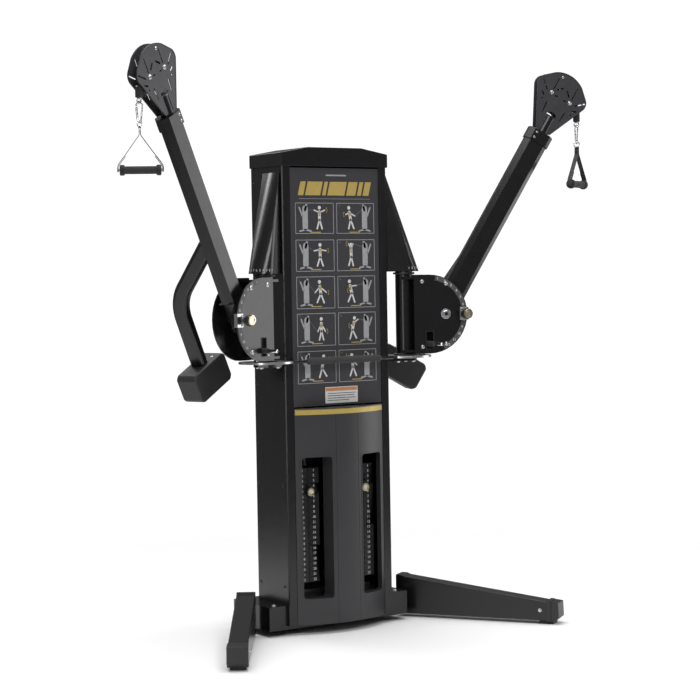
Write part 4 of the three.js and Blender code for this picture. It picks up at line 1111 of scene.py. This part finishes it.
for side in SIDES:
    local = mirrored(ARM[side], side)
    rim = []
    for low, high in ((-27.6, -21.2), (21.2, 27.6)):
        edge = boolean(prism(head_outline(), low, high, axis="Y"),
                       [prism(head_outline(-3.2) + [(1000, 36), (1000, -36)], -60, 60, axis="Y")])
        rim.append(soften(edge, 0.8, 40))
    neck = lathe([(9, 1015.5), (31, 1015.5), (32.5, 1017), (32.5, 1101), (30, 1104), (9, 1105)], "X", 56)
    spigot = lathe([(9, 956), (26, 956), (26, 1018), (9, 1018)], "X", 48)
    parts = [
        (head_plate(-26, -22), HEAD_GREY), (head_plate(22, 26), HEAD_GREY), (joined(*rim), HEAD_GREY),
        (neck, BLACK), (spigot, SILVER),
    ]
    parts = [(moved(form, local), material) for form, material in parts]
    for z in (SPREAD, -SPREAD):
        axle = lathe([(0, -26), (8, -26), (8, 26), (0, 26)], "Y", 32, (HEAD_X, 0, z))
        parts.append((moved(axle, local), SILVER))
        for s in (-1, 1):
            parts.append((moved(bolt(8.5, 5), spot(ARM[side], side, (HEAD_X, s * 26, z), (0, s, 0))), ZINC))
    brace = lathe([(0, -26), (7, -26), (7, 26), (0, 26)], "Y", 28, (HEAD_X + 92, 0, 40))
    parts.append((moved(brace, local), SILVER))
    for s in (-1, 1):
        parts.append((moved(bolt(6, 3.5), spot(ARM[side], side, (HEAD_X + 92, s * 26, 40), (0, s, 0))),
            ZINC))
    piece(f"{side}_head_shell", f"{side}_head", parts, MM, [f"{side}_head_housing"])
    for name, body, z in (("inner_wheel", "wheel_in", SPREAD), ("outer_wheel", "wheel_out", -SPREAD)):
        form = moved(sheave(WHEEL_R, WHEEL_WIDTH, 8.5, 39, 16), local @ shift(HEAD_X, 0, z))
        piece(f"{side}_{name}_body", f"{side}_{body}", [(form, NYLON)], MM, [f"{side}_{name}"])
    run_length = math.hypot(SWIVEL_AT[0] - STACK_X, SWIVEL_AT[1])
    for name, t in (("inner", 43), ("outer", run_length - 43)):
        form = moved(sheave(45, 18, 7, 39, 13), mirrored(RUN, side) @ shift(t, 0, 1830))
        node = f"{side}_{name}_top_sheave"
        piece(f"{node}_body", f"{side}_{name}_sheave", [(form, NYLON)], MM, [node])

# ---------------------------------------------------------------- handles


def ringed(r, wire, z, steps=40):
    points = [(r * math.cos(2 * math.pi * k / steps), 0,
        z + r * math.sin(2 * math.pi * k / steps)) for k in range(steps)]
    return tube(points, wire, 14, closed=True)


def hook_path():
    top, bottom = 18, 9
    high, low = -101.1 - 4 - top, -197 + 4 + bottom
    right = [(0, top * math.cos(math.radians(t)), high + top * math.sin(math.radians(t))) for t in range(0,
        181, 20)]
    left = [(0, bottom * math.cos(math.radians(t)),
        low + bottom * math.sin(math.radians(t))) for t in range(180, 361, 20)]
    return smooth_path(right + left, 3, closed=True)


def leg_path(s):
    """One strap of the handle: out of the stitched part, down to the bar's end and round under it."""
    return smooth_path([(s * 2.4, 0, -226), (s * 2.6, 0, -236), (s * 4.2, 0, -247), (s * 14, 0, -261),
        (s * 55, 0, -318),
                        (s * 88, 0, -362), (s * 96, 0, -377), (s * 97.5, 0, -392), (s * 96, 0, -402)], 5)


def leg_lap(s):
    """The webbing's second layer, folded back and stitched down inside the strap."""
    return smooth_path([(s * 93.5, 0, -401), (s * 94, 0, -390), (s * 92.4, 0, -379), (s * 85, 0, -366.5),
                        (s * 62, 0, -336)], 4)


for side in SIDES:
    local = mirrored(HANG[side], side)
    ribs = [(0, -88), (12, -88.6), (16, -86)]
    for k in range(5):
        z = -84 + 8 * k
        ribs += [(17, z), (17, z + 5), (15.4, z + 6), (15.4, z + 7)]
    ribs += [(16, -43), (12, -41), (3.2, -41), (3.2, -0.8), (0, -0.8)]
    swage = lathe([(0, -94), (6, -94), (7, -92), (7, -87), (0, -87)])
    piece(f"{side}_stop_body", f"{side}_stop", [
        (moved(lathe(ribs, sides=40), local), RUBBER), (moved(ringed(12, 3.4, -101), local), ZINC),
        (moved(swage, local), ZINC),
    ], MM, [f"{side}_cable_stop"])

    path = hook_path()
    gate = tube([(0, 16.4, -126), (0, 11.2, -178)], 4.7, 16)
    hinge = lathe([(0, -5.4), (2, -5.4), (2, 5.4), (0, 5.4)], "X", 20, (0, 11.0, -177))
    piece(f"{side}_hook_body", f"{side}_hook", [
        (moved(tube(path, 3.9, 16, closed=True), local), CHROME),
            (moved(joined(gate, hinge), local), CHROME),
    ], MM, [f"{side}_snap_hook"])

    local = mirrored(HANG[side] @ turn(HANDLE_TURN, "Z"), side)
    web = []
    for s in (-1, 1):
        web.append(tube(leg_path(s), 0, flat=(11, 1.3), up=(s, 0, 0.4)))
        web.append(tube(leg_lap(s), 0, flat=(11, 1.1), up=(s, 0, 0.4)))
    over = [(4.6 * math.cos(math.radians(t)), 0,
        -214.4 + 4.6 * math.sin(math.radians(t))) for t in range(-40, 221, 20)]
    loop = smooth_path([(2.4, 0, -228), (3.2, 0, -220), *over[1:-1], (-3.2, 0, -220), (-2.4, 0, -228)], 3)
    web.append(tube(loop, 0, flat=(10.5, 1.1), up=(1, 0, 0)))
    stitches = []
    for s in (-1, 1):
        for y in (-8.5, 8.5):
            for k in range(9):
                z = -229 - 2.1 * k
                stitches.append(tube([(s * 4.0, y, z), (s * 4.15, y, z - 0.7), (s * 4.0, y, z - 1.4)], 0.4,
                    6))
        for y in (-4, 0, 4):
            for z in (-228, -247):
                stitches.append(tube([(s * 4.0, y - 1.3, z), (s * 4.2, y, z), (s * 4.0, y + 1.3, z)], 0.45,
                    6))
    spindle = lathe([(0, -93), (6.6, -93), (6.6, 93), (0, 93)], "X", 28, (0, 0, GRIP_Z))
    ring_at = mirrored(HANG[side], side)
    piece(f"{side}_strap_webbing", f"{side}_handle", [
        (moved(joined(*web), local), WEBBING), (moved(joined(*stitches), local), STITCH),
        (moved(ringed(14, 2.9, -199.1), ring_at), CHROME), (moved(spindle, local), ZINC),
    ], MM, [f"{side}_handle_strap"], 40)

    profile = [(9.2, -66), (16.2, -66)]
    for k in range(21):
        x = -63 + 6 * k
        profile += [(17, x), (17, x + 4.4), (16.3, x + 5.2), (16.3, x + 5.8)]
    profile += [(16.2, 66), (9.2, 66)]
    caps = []
    for s in (-1, 1):
        caps.append(lathe([(9, s * 88), (18, s * 88), (22, s * 86), (23, s * 82), (23, s * 72),
            (21, s * 67.5),
                           (17.2, s * 66), (9, s * 66)], "X", 44, (0, 0, GRIP_Z)))
    piece(f"{side}_grip_body", f"{side}_grip", [
        (moved(lathe(profile, "X", 44, (0, 0, GRIP_Z)), local), FOAM),
            (moved(joined(*caps), local), RUBBER),
    ], MM, [f"{side}_handle_grip"])

# ---------------------------------------------------------------- floor, light and camera

FLOOR_HALF = 30.0
floor_mesh = bpy.data.meshes.new("floor")
corners = [(x, y, 0) for x, y in ((-1, -1), (1, -1), (1, 1), (-1, 1))]
floor_mesh.from_pydata([(x * FLOOR_HALF, y * FLOOR_HALF, 0) for x, y, _ in corners], [], [(0, 1, 2, 3)])
floor = bpy.data.objects.new("floor", floor_mesh)
bpy.context.scene.collection.objects.link(floor)
pale = Nodes("pale_floor")
pale.set(Base_Color=pale.mix(pale.span(pale.noise(1.5), 0.0, 1.0), rgb(0.95), rgb(0.97)), Roughness=0.8)
pale.shader.inputs["Specular IOR Level"].default_value = 0.15
reach = pale.add("VectorMath", {0: pale.coord}, operation="LENGTH").outputs["Value"]
pale.set(Alpha=pale.span(reach, 1.0, 0.0, 1.9, 4.2))
floor_mesh.materials.append(pale.material)


def area_light(name, place, target, size, power):
    """A soft rectangular light at a place, facing a target."""
    data = bpy.data.lights.new(name, "AREA")
    data.shape = "RECTANGLE"
    data.size, data.size_y = size
    data.energy = power
    light = bpy.data.objects.new(name, data)
    light.location = place
    light.rotation_euler = (Vector(target) - Vector(place)).to_track_quat("-Z", "Y").to_euler()
    bpy.context.scene.collection.objects.link(light)
    return light


area_light("right_card", (5.2, -1.6, 1.7), (0.0, 0.0, 1.4), (3.0, 3.8), 95)
area_light("left_card", (-4.6, -3.2, 2.0), (0.0, 0.0, 1.5), (0.5, 3.6), 46)
area_light("front_fill", (-1.5, -6.0, 5.2), (0.0, 0.0, 1.2), (3.0, 2.0), 150)
area_light("overhead", (0.0, 0.3, 5.6), (0.0, 0.0, 0.0), (5.0, 4.0), 300)
area_light("back_light", (-1.0, 5.5, 4.6), (0.0, 0.0, 1.2), (3.0, 2.5), 90)

world = bpy.data.worlds.new("studio")
bpy.context.scene.world = world
world.use_nodes = True
tree = world.node_tree
shade = tree.nodes["Background"]
backdrop = tree.nodes.new("ShaderNodeBackground")
seen = tree.nodes.new("ShaderNodeLightPath")
blend = tree.nodes.new("ShaderNodeMixShader")
shade.inputs["Color"].default_value = rgb(0.80, 0.80, 0.82)
shade.inputs["Strength"].default_value = 0.22
backdrop.inputs["Color"].default_value = rgb(1.0)
backdrop.inputs["Strength"].default_value = 1.05
tree.links.new(seen.outputs["Is Camera Ray"], blend.inputs[0])
tree.links.new(shade.outputs[0], blend.inputs[1])
tree.links.new(backdrop.outputs[0], blend.inputs[2])
tree.links.new(blend.outputs[0], tree.nodes["World Output"].inputs["Surface"])
bpy.context.scene.view_settings.view_transform = "Standard"

CAMERA_AT = (-5.066 + CENTRE_X / 1000, -7.742 + CENTRE_Y / 1000, 1.695)
CAMERA_AZIMUTH = math.radians(34.03)
CAMERA_DOWN = math.radians(2.3235)
CAMERA_ROLL = math.radians(-0.96)
LENS, SENSOR = 99.79, 36.0
eye = bpy.data.cameras.new("camera")
eye.lens, eye.sensor_width = LENS, SENSOR
eye.clip_start, eye.clip_end = 0.1, 100.0
camera = bpy.data.objects.new("camera", eye)
sin_a, cos_a = math.sin(CAMERA_AZIMUTH), math.cos(CAMERA_AZIMUTH)
sin_e, cos_e = math.sin(CAMERA_DOWN), math.cos(CAMERA_DOWN)
ahead = Vector((sin_a * cos_e, cos_a * cos_e, -sin_e))
level = Vector((cos_a, -sin_a, 0))
upward = level.cross(ahead)
right = level * math.cos(CAMERA_ROLL) + upward * math.sin(CAMERA_ROLL)
up = upward * math.cos(CAMERA_ROLL) - level * math.sin(CAMERA_ROLL)
camera.matrix_world = Matrix.Translation(CAMERA_AT) @ Matrix((right, up, -ahead)).transposed().to_4x4()
bpy.context.scene.collection.objects.link(camera)
bpy.context.scene.camera = camera
